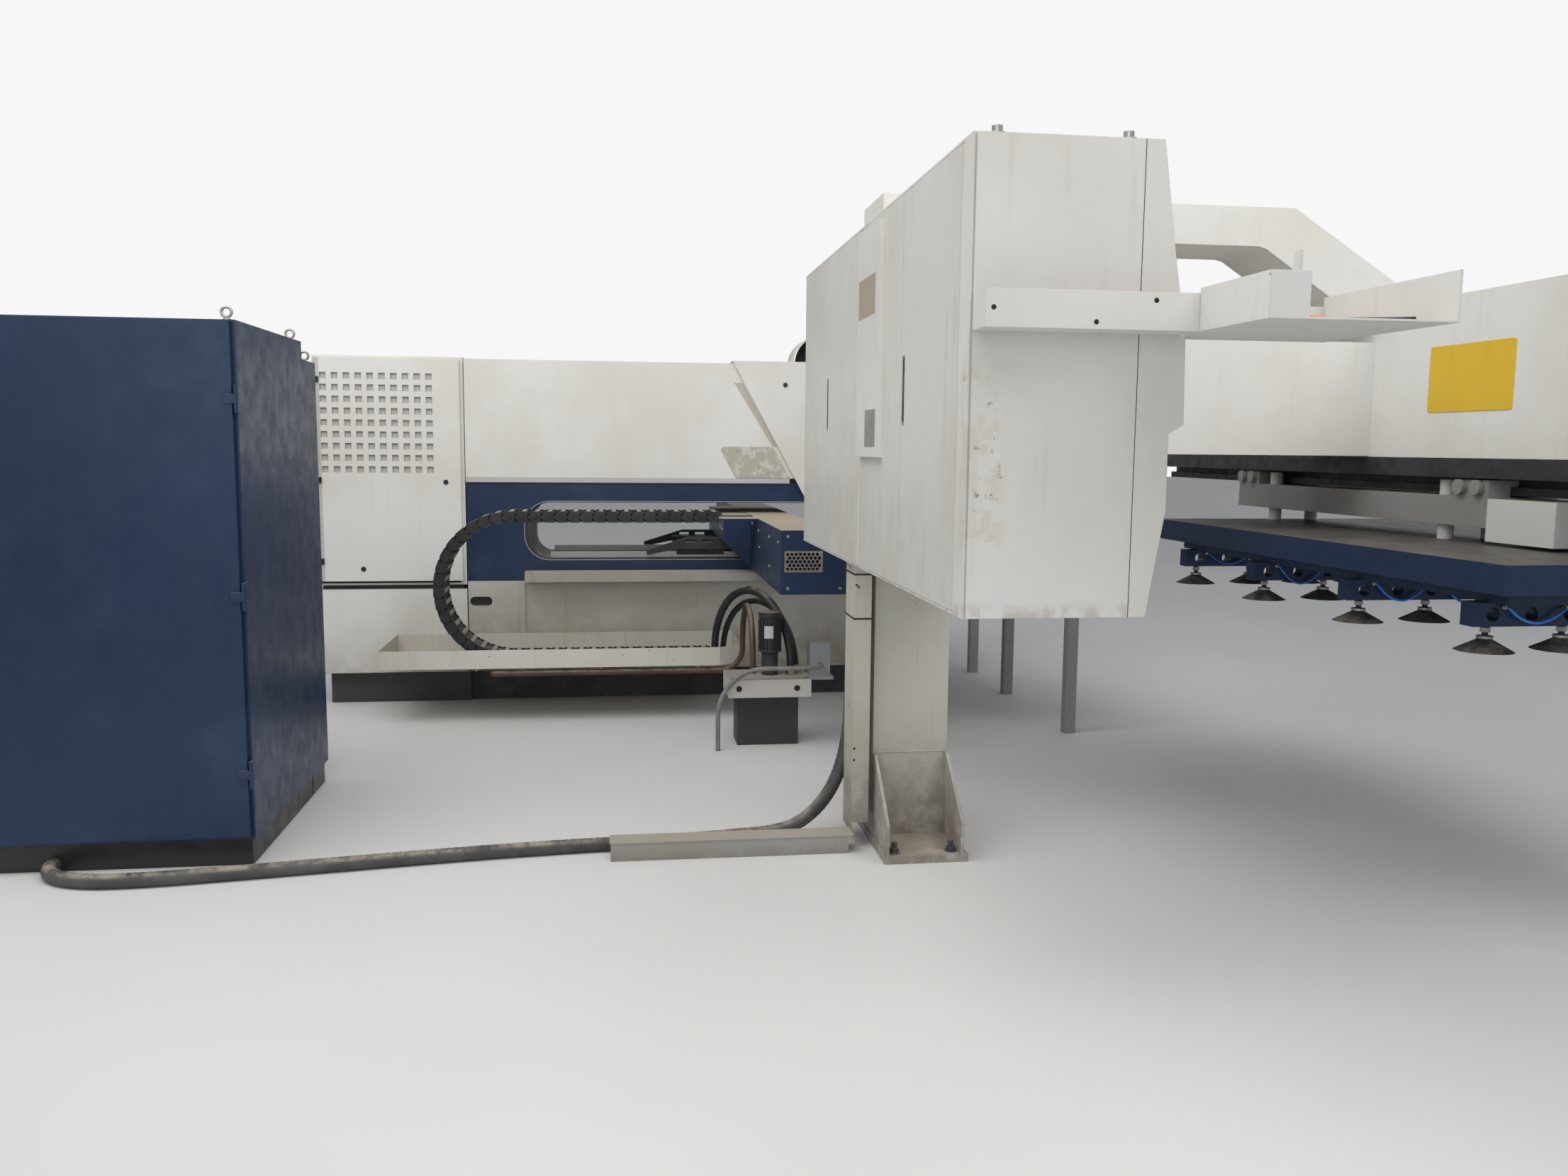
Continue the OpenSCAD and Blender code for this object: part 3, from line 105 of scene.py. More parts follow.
class Finish:
    """A node material on the object's own coordinates, built from small masks."""

    def __init__(self, name, rough, metallic=0.0):
        self.mat = bpy.data.materials.new(name)
        self.mat.use_nodes = True
        tree = self.mat.node_tree
        self.nodes, self.join = tree.nodes, tree.links.new
        self.shader = self.nodes["Principled BSDF"]
        self.shader.inputs["Roughness"].default_value = rough
        self.shader.inputs["Metallic"].default_value = metallic
        self.place = self.new("TexCoord").outputs["Object"]
        self.xyz = self.new("SeparateXYZ")
        self.join(self.place, self.xyz.inputs[0])
        self.normal = self.new("SeparateXYZ")
        self.join(self.new("NewGeometry").outputs["Normal"], self.normal.inputs[0])
        self.last_bump = None

    def new(self, kind, **values):
        """A new node with some inputs set; an underscore in a name stands for a space."""
        node = self.nodes.new("ShaderNode" + kind)
        for name, value in values.items():
            node.inputs[name.replace("_", " ")].default_value = value
        return node

    def link(self, value, socket):
        """Puts a number, a colour or another node's output into a socket."""
        if isinstance(value, (int, float)):
            socket.default_value = value
        elif isinstance(value, (tuple, list)):
            socket.default_value = (*value, 1.0)
        else:
            self.join(value, socket)

    def noise(self, scale, detail=4.0, rough=0.55, stretch=(1, 1, 1), offset=0.0, distortion=0.0):
        mapping = self.new("Mapping", Scale=stretch, Location=AXIS_SHIFT * offset)
        self.join(self.place, mapping.inputs[0])
        node = self.new("TexNoise", Scale=scale, Detail=detail, Roughness=rough, Distortion=distortion)
        self.join(mapping.outputs[0], node.inputs["Vector"])
        return node.outputs["Fac"]

    def ramp(self, value, low, high, to_low=0.0, to_high=1.0):
        node = self.new("MapRange", From_Min=low, From_Max=high, To_Min=to_low, To_Max=to_high)
        node.interpolation_type = "SMOOTHSTEP"
        self.link(value, node.inputs["Value"])
        return node.outputs["Result"]

    def spots(self, scale, low, high, *grain, **shape):
        """1 where a noise passes from low to high; grain is its detail and roughness."""
        return self.ramp(self.noise(scale, *grain, **shape), low, high)

    def math(self, kind, a, b=0.0):
        node = self.new("Math")
        node.operation = kind
        self.link(a, node.inputs[0])
        self.link(b, node.inputs[1])
        return node.outputs[0]

    def times(self, *values):
        out = values[0]
        for value in values[1:]:
            out = self.math("MULTIPLY", out, value)
        return out

    def mix(self, share, a, b):
        node = self.new("Mix")
        node.data_type = "RGBA"
        self.link(share, node.inputs["Factor"])
        self.link(a, node.inputs["A"])
        self.link(b, node.inputs["B"])
        return node.outputs["Result"]

    def above(self, axis, limit, soft=MASK_SOFT):
        """1 where the object's coordinate is over the limit."""
        return self.ramp(self.xyz.outputs[axis], limit - soft, limit + soft)

    def below(self, axis, limit, soft=MASK_SOFT):
        """1 where the object's coordinate is under the limit."""
        return self.ramp(self.xyz.outputs[axis], limit - soft, limit + soft, 1.0, 0.0)

    def inside(self, low, high, soft=MASK_SOFT):
        """1 inside a box; None leaves a side open."""
        parts = [self.above(i, v, soft) for i, v in enumerate(low) if v is not None]
        parts += [self.below(i, v, soft) for i, v in enumerate(high) if v is not None]
        return self.times(*parts)

    def facing_up(self, low=0.75, high=0.97):
        return self.ramp(self.normal.outputs[2], low, high)

    def bump(self, height, strength, distance):
        node = self.new("Bump", Strength=strength, Distance=distance)
        self.link(height, node.inputs["Height"])
        if self.last_bump is not None:
            self.join(self.last_bump, node.inputs["Normal"])
        self.use_normal(node)

    def soften(self, radius):
        """Rounded edges for the sharp folds of sheet metal."""
        node = self.new("Bevel", Radius=radius)
        node.samples = FOLD_SAMPLES
        self.use_normal(node)

    def use_normal(self, node):
        self.last_bump = node.outputs["Normal"]
        self.join(self.last_bump, self.shader.inputs["Normal"])

    def colour(self, value):
        self.link(value, self.shader.inputs["Base Color"])

    def rough(self, value):
        self.link(value, self.shader.inputs["Roughness"])


# Colours, as linear red, green and blue
WHITE = (0.72, 0.715, 0.69)
OFF_WHITE = (0.66, 0.65, 0.615)
BEAM_WHITE = (0.74, 0.735, 0.71)
AGED = (0.56, 0.54, 0.49)
PANEL_GREY = (0.60, 0.58, 0.53)
COLUMN_GREY = (0.58, 0.57, 0.54)
TRAY_GREY = (0.62, 0.60, 0.55)
SHELL_GREY = (0.62, 0.61, 0.58)
NAVY = (0.0055, 0.023, 0.072)
WORN_NAVY = (0.035, 0.075, 0.15)
BLACK = (0.012, 0.012, 0.014)
RUBBER = (0.016, 0.016, 0.018)
SOFT_BLACK = (0.020, 0.020, 0.022)
STEEL = (0.50, 0.49, 0.47)
DUST = (0.42, 0.36, 0.28)
GRIME = (0.22, 0.18, 0.13)
FLOOR_DIRT = (0.17, 0.135, 0.10)
PRIMER = (0.15, 0.14, 0.13)
FILLER = (0.62, 0.55, 0.45)
RUST = (0.24, 0.17, 0.11)

# Tints that a base colour is multiplied by
CLOUD_TINT = (0.93, 0.90, 0.86)
SMUDGE_TINT = (0.78, 0.72, 0.62)
STREAK_TINT = (0.74, 0.68, 0.58)
NAVY_SMUDGE = (1.5, 1.35, 1.2)
NAVY_WEAR = (1.6, 1.4, 1.2)
LINE_TINT = (0.82, 0.82, 0.82)

# Other values that the finishes share
FADE_GAIN = 1.5
FADE_LIFT = 0.006
RUN_STRETCH = (4.5, 4.5, 0.35)
METAL_FOLD = 0.0015
MOULD_FOLD = 0.0012
ANY = (None, None, None)


def tinted(base, tint):
    return tuple(b * t for b, t in zip(base, tint))


def faded(base):
    return tuple(min(1, b * FADE_GAIN + FADE_LIFT) for b in base)


def enamel(name, base, wear=(0.35, 0.3, 0.18), rough=0.42, edge=0.0025, warm=SMUDGE_TINT, extra=None,
           dents=0.0):
    """Old enamel with soft folds; wear is its dust on ledges, hand smudges and streaks."""
    dust, grime, streak = wear
    f = Finish(name, rough)
    f.soften(edge)
    cloud = f.noise(1.3, 5, 0.6)
    c = f.mix(f.ramp(cloud, 0.38, 0.66), base, tinted(base, CLOUD_TINT))
    smudge = f.times(f.spots(7.0, 0.56, 0.80, 8, 0.68, offset=3.1, distortion=0.6),
                     f.spots(1.9, 0.46, 0.62, 3, 0.5, offset=7.7), grime)
    c = f.mix(smudge, c, tinted(base, warm))
    runs = f.times(f.spots(5.0, 0.55, 0.78, 6, 0.6, stretch=RUN_STRETCH, offset=1.7), streak)
    c = f.mix(runs, c, tinted(base, STREAK_TINT))
    specks = f.times(f.spots(90.0, 0.70, 0.78, 3, 0.7, offset=5.0), f.ramp(cloud, 0.45, 0.6), 0.45)
    c = f.mix(specks, c, GRIME)
    if extra:
        c = extra(f, c)
    patchy = f.ramp(f.noise(3.5, 7, 0.62, offset=9.0), 0.30, 0.62, 0.45, 1.0)
    powder = f.times(f.facing_up(), patchy, dust)
    f.colour(f.mix(powder, c, DUST))
    sheen = f.ramp(f.noise(11.0, 6, 0.6, offset=2.2), 0.3, 0.7, rough - 0.07, rough + 0.10)
    f.rough(f.math("MAXIMUM", sheen, f.times(powder, 0.95)))
    f.bump(f.noise(420.0, 2, 0.5), strength=0.05, distance=0.0006)
    f.bump(f.noise(2.2, 3, 0.45, offset=4.4), strength=0.10 + dents, distance=0.010)
    return f.mat


def metal(name, base, rough, grain=(1, 1, 1), dirt=0.3):
    """Bare machined or rolled metal with oil film and fine lines."""
    f = Finish(name, rough, 1.0)
    f.soften(METAL_FOLD)
    lines = f.noise(60.0, 4, 0.6, stretch=grain)
    c = f.mix(f.ramp(lines, 0.35, 0.65), base, tinted(base, LINE_TINT))
    oil = f.times(f.spots(9.0, 0.52, 0.75, 7, 0.66, offset=2.0), dirt)
    f.colour(f.mix(oil, c, (0.10, 0.08, 0.06)))
    f.rough(f.ramp(lines, 0.3, 0.7, rough - 0.06, rough + 0.12))
    f.bump(lines, strength=0.08, distance=0.0006)
    return f.mat


def matte(name, base, rough, dust, extra=None):
    """Moulded plastic or rubber with settled dust and a fine grain."""
    f = Finish(name, rough)
    f.soften(MOULD_FOLD)
    c = f.mix(f.spots(6.0, 0.4, 0.65, 5, 0.6), base, faded(base))
    if extra:
        c = extra(f, c)
    powder = f.times(f.facing_up(0.35, 0.95), f.spots(14.0, 0.35, 0.65, 6, 0.65, offset=4.0), dust)
    c = f.mix(powder, c, DUST)
    marks = f.times(f.spots(30.0, 0.60, 0.78, 6, 0.7, offset=8.0), 0.35)
    f.colour(f.mix(marks, c, (0.16, 0.14, 0.11)))
    f.rough(f.ramp(f.noise(24.0, 4, 0.6, offset=1.0), 0.3, 0.7, rough - 0.10, rough + 0.12))
    f.bump(f.noise(260.0, 3, 0.6), strength=0.12, distance=0.0008)
    return f.mat


# Layers over a finish's base colour, and the places of some
DENTED = ((None, None, 1.30), (-0.665, -4.80, 1.76))
CABINET_FOOT = 1.155
VENT_FLOORS = ((-3.31, -0.3442, 1.35), (-2.62, None, 1.98))
DUCT_R = 0.1795


def drawn(mask_of, colour):
    """A plain colour where the mask is 1."""
    return lambda f, c: f.mix(mask_of(f), c, colour)


def field(low, high, colour):
    """A plain colour inside a box of the frame."""
    return drawn(lambda f: f.inside(low, high), colour)


def over(axis, limit, colour):
    """A plain colour past a limit on one axis."""
    return drawn(lambda f: f.above(axis, limit), colour)


def layers(*steps):
    def all_of(f, c):
        for step in steps:
            c = step(f, c)
        return c
    return all_of


def foot_dirt(height, share=0.75):
    """Floor dirt that climbs the lowest stretch of a piece."""
    def layer(f, c):
        climb = f.ramp(f.xyz.outputs[2], 0.0, height, 1.0, 0.0)
        ragged = f.ramp(f.noise(9.0, 6, 0.68, offset=12.0), 0.30, 0.62, 0.35, 1.0)
        return f.mix(f.times(climb, ragged, share), c, FLOOR_DIRT)
    return layer


def rubbed_edges(f, c):
    """Bare primer where the paint is chipped, in a few areas."""
    chips = f.times(f.spots(34.0, 0.64, 0.68, 7, 0.72, offset=13.0),
                    f.spots(3.1, 0.50, 0.60, 3, 0.5, offset=5.5))
    return f.mix(chips, c, PRIMER)


def beam_scuffs(f, c):
    """Long faint scratches where sheets brushed past."""
    marks = f.times(f.spots(26.0, 0.66, 0.72, 6, 0.7, stretch=(0.6, 0.6, 3.0), offset=11.0), 0.5)
    return f.mix(marks, c, (0.40, 0.37, 0.33))


def corner_dents(f, c):
    """Filler, rubbed paint and rust on the near corner of the raised cabinet."""
    near = f.inside(*DENTED, 0.03)
    patch = f.times(near, f.spots(11.0, 0.46, 0.54, 6, 0.65, offset=6.0))
    c = f.mix(f.times(patch, 0.55), c, FILLER)
    scar = f.times(near, f.spots(16.0, 0.62, 0.68, 7, 0.7, offset=2.5))
    c = f.mix(f.times(scar, 0.8), c, RUST)
    low = f.times(f.below(2, CABINET_FOOT, 0.02), 0.5, f.spots(20.0, 0.4, 0.6, 6, 0.6))
    return f.mix(low, c, DUST)


def vent_shadow(f, c):
    """Pressed vents: painted shade, a grey floor inside each square."""
    recess = f.inside(*VENT_FLOORS, 0.0004)
    return f.mix(f.times(recess, 0.75), c, (0.40, 0.40, 0.39))


def hood_mouth_shade(f):
    """1 inside the round duct of the vent hood, seen along Y; the near-black laid there is painted shade of
    the duct's inside.
    """
    low, high = corners("vent_hood")
    dx = f.math("POWER", f.math("SUBTRACT", f.xyz.outputs[0], (low.x + high.x) / 2), 2.0)
    dz = f.math("POWER", f.math("SUBTRACT", f.xyz.outputs[2], low.z), 2.0)
    return f.math("LESS_THAN", f.math("SQRT", f.math("ADD", dx, dz)), DUCT_R)


# Finishes of the CAD nodes, with the places where their colour changes
PLATE_UPPER = ((-3.843, 1.980), (-3.572, 2.111))
PLATE_LOWER = ((-3.868, 1.551), (-3.702, 1.674))
LEAF_EDGE = (-3.297, -0.3455, None)
PLINTH_TOP = 0.190
CABINET_GAP = 0.690
BLUE_FOOT = (-2.80, -1.9, 0.100)
SLAB_TOP = 1.230
TRIM_PLATE = 1.3565
TRAY_SIDES = 0.40
CARRIAGE_BOX_Y = -3.8705
BRUSHES_FROM = 0.9232
CASSETTE_TOP = 0.9945
UNIT_PLATE = ((None, None, 0.262), (-0.610, None, 0.3625))
UNIT_FOOT = (-0.612, None, 0.2675)
UNIT_MOTOR = ((None, None, 0.3625), (-0.640, None, None))


def vented_door_paint():
    """White, with painted shade on the vent floors and black hinge leaves."""
    return enamel("vented_door_enamel", WHITE, (0.3, 0.22, 0.15),
                  extra=layers(vent_shadow, field(ANY, LEAF_EDGE, BLACK)))


def cover_plate_paint():
    """White, with a brown and a dark plain field."""
    face = corners("door_cover_plate")[0].x + SUNK
    upper = field((None, *PLATE_UPPER[0]), (face, *PLATE_UPPER[1]), (0.27, 0.17, 0.075))
    lower = field((None, *PLATE_LOWER[0]), (face, *PLATE_LOWER[1]), (0.035, 0.033, 0.032))
    return enamel("cover_plate_enamel", WHITE, (0.3, 0.3, 0.2), extra=layers(upper, lower))


def power_base_paint():
    """White, with a dark plinth and painted shade in the gap under the cabinet."""
    return enamel("power_base_enamel", WHITE, (0.3, 0.3, 0.3), extra=layers(
        foot_dirt(0.55, 0.5), field(ANY, (None, None, PLINTH_TOP), (0.05, 0.05, 0.05)),
        # Painted shade: the dark band above CABINET_GAP stands for the shaded gap under the cabinet.
        over(2, CABINET_GAP, (0.04, 0.04, 0.045))))


def lower_panel_paint():
    return enamel("lower_panel_enamel", PANEL_GREY, (0.6, 0.6, 0.6), rough=0.55,
                  extra=layers(rubbed_edges, foot_dirt(0.80, 0.85)))


def column_paint():
    return enamel("column_enamel", COLUMN_GREY, (0.45, 0.5, 0.55), rough=0.5,
                  extra=layers(rubbed_edges, foot_dirt(0.62, 0.8)))


def chain_tray_paint():
    """Chipped grey, with oily dirt on the tray's floor."""
    floor_oil = drawn(lambda f: f.times(f.facing_up(), f.below(2, TRAY_SIDES)), (0.10, 0.075, 0.055))
    return enamel("chain_tray_enamel", TRAY_GREY, (0.8, 0.75, 0.55), rough=0.55,
                  extra=layers(rubbed_edges, floor_oil))


def navy_paint():
    """Navy, lighter in worn clouds, with the blue cabinet's black foot."""
    clouds = drawn(lambda f: f.times(f.spots(2.4, 0.50, 0.78, 6, 0.6, offset=8.8), 0.35), WORN_NAVY)
    return enamel("navy_enamel", NAVY, (0.30, 0.10, 0.10), rough=0.36, warm=NAVY_SMUDGE,
                  extra=layers(clouds, field(ANY, BLUE_FOOT, SOFT_BLACK)))


def rail_paint():
    """Navy, with thick dust on top and chipped edges."""
    top_dust = drawn(lambda f: f.times(f.facing_up(0.5, 0.9), 0.85), (0.50, 0.41, 0.30))
    return enamel("rail_enamel", NAVY, (0.95, 0.10, 0.10), rough=0.42, warm=NAVY_WEAR,
                  extra=layers(top_dust, rubbed_edges))


def suction_slab_paint():
    """Navy slab with a dark top; the lift rods above it are bare metal grey."""
    top = drawn(lambda f: f.times(f.facing_up(0.5, 0.9), f.below(2, SLAB_TOP - SUNK)), (0.028, 0.030, 0.036))
    return enamel("slab_enamel", NAVY, (0.20, 0.10, 0.10), rough=0.45, warm=NAVY_WEAR,
                  extra=layers(top, over(2, SLAB_TOP, (0.55, 0.55, 0.54))))


def trim_metal():
    """Aluminium strip; the worn plate above it has old glue and brown stains."""
    def on_plate(share, *grain, **shape):
        return lambda f: f.times(f.above(2, TRIM_PLATE), f.spots(*grain, **shape), share)
    glue = drawn(on_plate(1.0, 14.0, 0.50, 0.60, 7, 0.7, offset=2.0), (0.58, 0.56, 0.52))
    stains = drawn(on_plate(0.8, 30.0, 0.60, 0.66, 7, 0.75, offset=6.0), (0.20, 0.17, 0.12))
    return enamel("trim_metal", (0.50, 0.51, 0.52), (0.3, 0.2, 0.2), rough=0.36,
                  extra=layers(over(2, TRIM_PLATE, (0.44, 0.41, 0.35)), glue, stains))


def carriage_paint():
    """Cast grey, with the light box at the near end."""
    box = drawn(lambda f: f.below(1, CARRIAGE_BOX_Y), SHELL_GREY)
    return enamel("carriage_casting", (0.27, 0.27, 0.265), (0.55, 0.3, 0.3), rough=0.5, extra=box)


def table_paint():
    return enamel("table_grey", (0.30, 0.31, 0.31), (0.3, 0.3, 0.3), rough=0.5,
                  extra=over(2, BRUSHES_FROM, (0.025, 0.025, 0.026)))


def pump_unit_paint():
    """Grey box, light plate, dark foot and black motor."""
    return enamel("pump_unit", (0.30, 0.31, 0.32), (0.6, 0.4, 0.4), rough=0.5, extra=layers(
        field(*UNIT_PLATE, (0.52, 0.50, 0.46)), field(ANY, UNIT_FOOT, (0.035, 0.034, 0.034)),
        field(*UNIT_MOTOR, (0.022, 0.022, 0.024)), rubbed_edges))


def cassette_paint():
    return enamel("cassette_blue", (0.015, 0.075, 0.24), (0.2, 0.1, 0.1), rough=0.45,
                  extra=over(2, CASSETTE_TOP, (0.42, 0.41, 0.39)))


dark = matte("dark_steel_paint", (0.035, 0.035, 0.038), 0.55, 0.5)
plastic = matte("black_plastic", BLACK, 0.48, 0.25)
NODE_FINISHES = (
    (enamel("white_enamel", WHITE), "power_cabinet", "rear_housing"),
    (enamel("head_enamel", WHITE, (0.3, 0.2, 0.15)), "upper_cover", "head_cover"),
    (vented_door_paint(), "vented_door"),
    (enamel("raised_cabinet_enamel", WHITE, (0.4, 0.45, 0.35), dents=0.12, extra=corner_dents),
     "raised_cabinet"),
    (enamel("raised_door_enamel", OFF_WHITE, (0.35, 0.40, 0.40), dents=0.05),
     "raised_door_1", "raised_door_2", "raised_door_3", "raised_door_4"),
    (cover_plate_paint(), "door_cover_plate"),
    (enamel("cable_tray_enamel", WHITE, (0.5, 0.35, 0.30), extra=rubbed_edges), "cable_tray", "cable_pan"),
    (enamel("beam_enamel", BEAM_WHITE, (0.45, 0.30, 0.30), extra=beam_scuffs),
     "bridge_arm", "cross_member", "loader_beam"),
    (power_base_paint(), "power_base"),
    (enamel("aged_enamel", AGED, (0.65, 0.55, 0.5), rough=0.55, extra=foot_dirt(0.75)),
     "guide_ledge", "cable_channel"),
    (lower_panel_paint(), "lower_panels"),
    (column_paint(), "column", "column_base"),
    (chain_tray_paint(), "chain_tray"),
    (navy_paint(), "throat_covers", "blue_cabinet", "blue_cabinet_rear", "blue_door", "suction_arms"),
    (rail_paint(), "cross_rail"),
    (suction_slab_paint(), "suction_frame"),
    (dark, "c_frame", "base_plinth", "anchor_bolts", "clamp_jaws"),
    (plastic, "power_hinges", "upper_lock", "lower_lock", "blue_handle", "near_handle", "far_handle"),
    (matte("grille_metal", (0.21, 0.19, 0.15), 0.42, 0.5), "rail_grille"),
    (matte("cup_rubber", RUBBER, 0.70, 0.35), "suction_cups"),
    (matte("rail_black", SOFT_BLACK, 0.5, 0.55), "beam_rail", "rail_saddle"),
    # Painted shade: near-black inside the hood's duct mouth.
    (matte("hood_shell", SHELL_GREY, 0.5, 0.3, drawn(hood_mouth_shade, (0.012, 0.012, 0.012))), "vent_hood"),
    (metal("ground_steel", STEEL, 0.32, grain=(1, 14, 14)),
     "lifting_eyes", "clamp_bar", "punch_ram", "tool_adapter", "die_adapter"),
    (metal("guide_steel", (0.42, 0.41, 0.39), 0.30, grain=(0.4, 20, 20), dirt=0.5), "guide_rails"),
    (trim_metal(), "trim_strips"),
    (carriage_paint(), "loader_carriage"),
    (table_paint(), "sheet_table"),
    (enamel("duct_grey", (0.36, 0.35, 0.33), (0.75, 0.5, 0.3), rough=0.5, extra=foot_dirt(0.07, 0.5)),
     "floor_duct"),
    (pump_unit_paint(), "drive_unit"),
    (cassette_paint(), "tool_cassettes"))


def finish_node(mat, obj):
    for slot_at in obj.material_slots:
        slot_at.material = mat
    if not obj.material_slots:
        obj.data.materials.append(mat)


for mat, *names in NODE_FINISHES:
    for name in names:
        finish_node(mat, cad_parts[name])

# Finishes of the small pieces
brass = metal("plated_fitting", (0.52, 0.47, 0.36), 0.34, dirt=0.5)
zinc = metal("zinc_screws", (0.42, 0.42, 0.41), 0.42, dirt=0.5)
# Painted shade for the insides of holes and slots; also the real dark of seams and joints.
hole_shade_and_seam_black = matte("hole_shade_and_seams", (0.006, 0.006, 0.006), 0.8, 0.05)


# Mesh builders for the pieces
FOLD_ANGLE = radians(50)
STEP_SLACK = 1e-9


def add_piece(name, bm, mat, body="machine", bevel=0.0, smooth=False):
    """A bmesh as a piece that rides on a body, with softly rounded edges."""
    bmesh.ops.recalc_face_normals(bm, faces=bm.faces)
    mesh = bpy.data.meshes.new(name)
    bm.to_mesh(mesh)
    bm.free()
    mesh.materials.append(mat)
    obj = new_object(name, mesh)
    if smooth:
        mesh.shade_smooth()
    if bevel:
        mod = obj.modifiers.new("edges", "BEVEL")
        mod.width = bevel
        mod.segments = 2
        mod.limit_method = "ANGLE"
        mod.angle_limit = FOLD_ANGLE
    if body:
        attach(obj, body)
    return obj


def add_prism(bm, outline, low, high, place):
    """A closed outline of 2-D points pulled from low to high; place maps (u, v, w) into the frame."""
    rings = [[bm.verts.new(place(u, v, w)) for u, v in outline] for w in (low, high)]
    n = len(outline)
    for i in range(n):
        j = (i + 1) % n
        bm.faces.new((rings[0][i], rings[0][j], rings[1][j], rings[1][i]))
    bm.faces.new(rings[0][::-1])
    bm.faces.new(rings[1])


def rectangle(us, vs):
    return [(us[0], vs[0]), (us[1], vs[0]), (us[1], vs[1]), (us[0], vs[1])]


def add_box(bm, low, high):
    us, vs, ws = zip(low, high)
    add_prism(bm, rectangle(us, vs), *ws, along_axis("z"))


def arc(radius, first, last, steps, centre=(0.0, 0.0)):
    """Points on an arc, from one angle in degrees to another."""
    angles = [radians(first + (last - first) * i / steps) for i in range(steps + 1)]
    return [(centre[0] + radius * cos(a), centre[1] + radius * sin(a)) for a in angles]


def circle(radius, sides, centre=(0.0, 0.0)):
    return arc(radius, 0, 360, sides, centre)[:-1]


def along_axis(axis, origin=(0, 0, 0)):
    """Maps (u, v, w) so that w runs along X, Y or Z from the origin."""
    o = Vector(origin)
    return {"x": lambda u, v, w: o + Vector((w, u, v)),
            "y": lambda u, v, w: o + Vector((u, w, v)),
            "z": lambda u, v, w: o + Vector((u, v, w))}[axis]


def spline(points, step):
    """Close points on a rounded line through the given ones."""
    pts = [Vector(p) for p in points]
    pts = [2 * pts[0] - pts[1]] + pts + [2 * pts[-1] - pts[-2]]
    fine = []
    for a, b, c, d in zip(pts, pts[1:], pts[2:], pts[3:]):
        count = max(4, int((c - b).length / step * 2))
        for i in range(count):
            t = i / count
            fine.append(0.5 * (2 * b + (c - a) * t + (2 * a - 5 * b + 4 * c - d) * t * t
                               + (3 * b - a - 3 * c + d) * t ** 3))
    return fine + [pts[-2]]


def smooth_path(points, step):
    """A rounded line through the points, cut into even steps."""
    fine = spline(points, step)
    total = path_length(fine)
    count = max(2, round(total / step))
    out, walked, goal, k = [fine[0]], 0.0, total / count, 1
    for p, q in zip(fine, fine[1:]):
        seg = (q - p).length
        while k < count and walked + seg >= goal * k - STEP_SLACK:
            out.append(p.lerp(q, (goal * k - walked) / seg if seg else 0))
            k += 1
        walked += seg
    return out + [fine[-1]]


def path_length(path):
    return sum((q - p).length for p, q in zip(path, path[1:]))


def add_tube(bm, path, radius, sides, ribs=0.0):
    """A round tube on the path; ribs is the depth of the corrugation, one rib to two steps."""
    side = None
    rings = []
    for i, p in enumerate(path):
        ahead = (path[min(i + 1, len(path) - 1)] - path[max(i - 1, 0)]).normalized()
        if side is None:
            side = ahead.orthogonal().normalized()
        side = (side - ahead * side.dot(ahead)).normalized()
        up = ahead.cross(side)
        outline = circle(radius - (ribs if i % 2 else 0.0), sides)
        rings.append([bm.verts.new(p + u * side + v * up) for u, v in outline])
    for a, b in zip(rings, rings[1:]):
        for k in range(sides):
            j = (k + 1) % sides
            bm.faces.new((a[k], a[j], b[j], b[k]))
    bm.faces.new(rings[0][::-1])
    bm.faces.new(rings[-1])


def tubes(name, runs, mat, body="machine", sides=14, ribs=0.0, step=0.02):
    """Several tubes of one kind as one piece; each run is (points, radius)."""
    bm = bmesh.new()
    for points, radius in runs:
        add_tube(bm, smooth_path(points, step), radius, sides, ribs)
    return add_piece(name, bm, mat, body, smooth=True)


# Floor hose, on the route that the part's source gives it
HOSE_R = 0.027
HOSE_SIDES = 18
HOSE_RIB = 0.0012
HOSE_STEP = 0.012
HOSE_ROUTE = [
    (-681, -3038, 1125), (-681, -3038, 1000), (-681, -3038, 860), (-681, -3038, 720), (-682, -3038, 590),
    (-686, -3039, 480), (-696, -3041, 385), (-714, -3044, 300), (-742, -3050, 222), (-782, -3058, 154),
    (-832, -3067, 99), (-892, -3078, 58), (-960, -3090, 35), (-1035, -3105, 27), (-1120, -3122, 27),
    (-1220, -3140, 27), (-1330, -3155, 27), (-1450, -3166, 27), (-1580, -3175, 27), (-1710, -3184, 27),
    (-1850, -3196, 27), (-2000, -3212, 27), (-2150, -3231, 27), (-2300, -3252, 27), (-2450, -3275, 27),
    (-2600, -3298, 27), (-2750, -3321, 27), (-2900, -3344, 27), (-3050, -3366, 27), (-3190, -3384, 27),
    (-3310, -3393, 27), (-3415, -3389, 27), (-3505, -3366, 27), (-3575, -3322, 27), (-3616, -3270, 27),
    (-3630, -3225, 27), (-3630, -3190, 27)]


def floor_hose_cord():
    """Loose hose from the raised cabinet's channel to the blue cabinet's plinth."""
    path = smooth_path([mm(*p) for p in HOSE_ROUTE], HOSE_STEP)
    bm = bmesh.new()
    add_tube(bm, path, HOSE_R, HOSE_SIDES, HOSE_RIB)
    rubber = matte("floor_hose_rubber", (0.055, 0.054, 0.052), 0.6, 0.8)
    hose = add_piece("floor_hose_cord", bm, rubber, smooth=True)
    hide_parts("floor_hose")


floor_hose_cord()

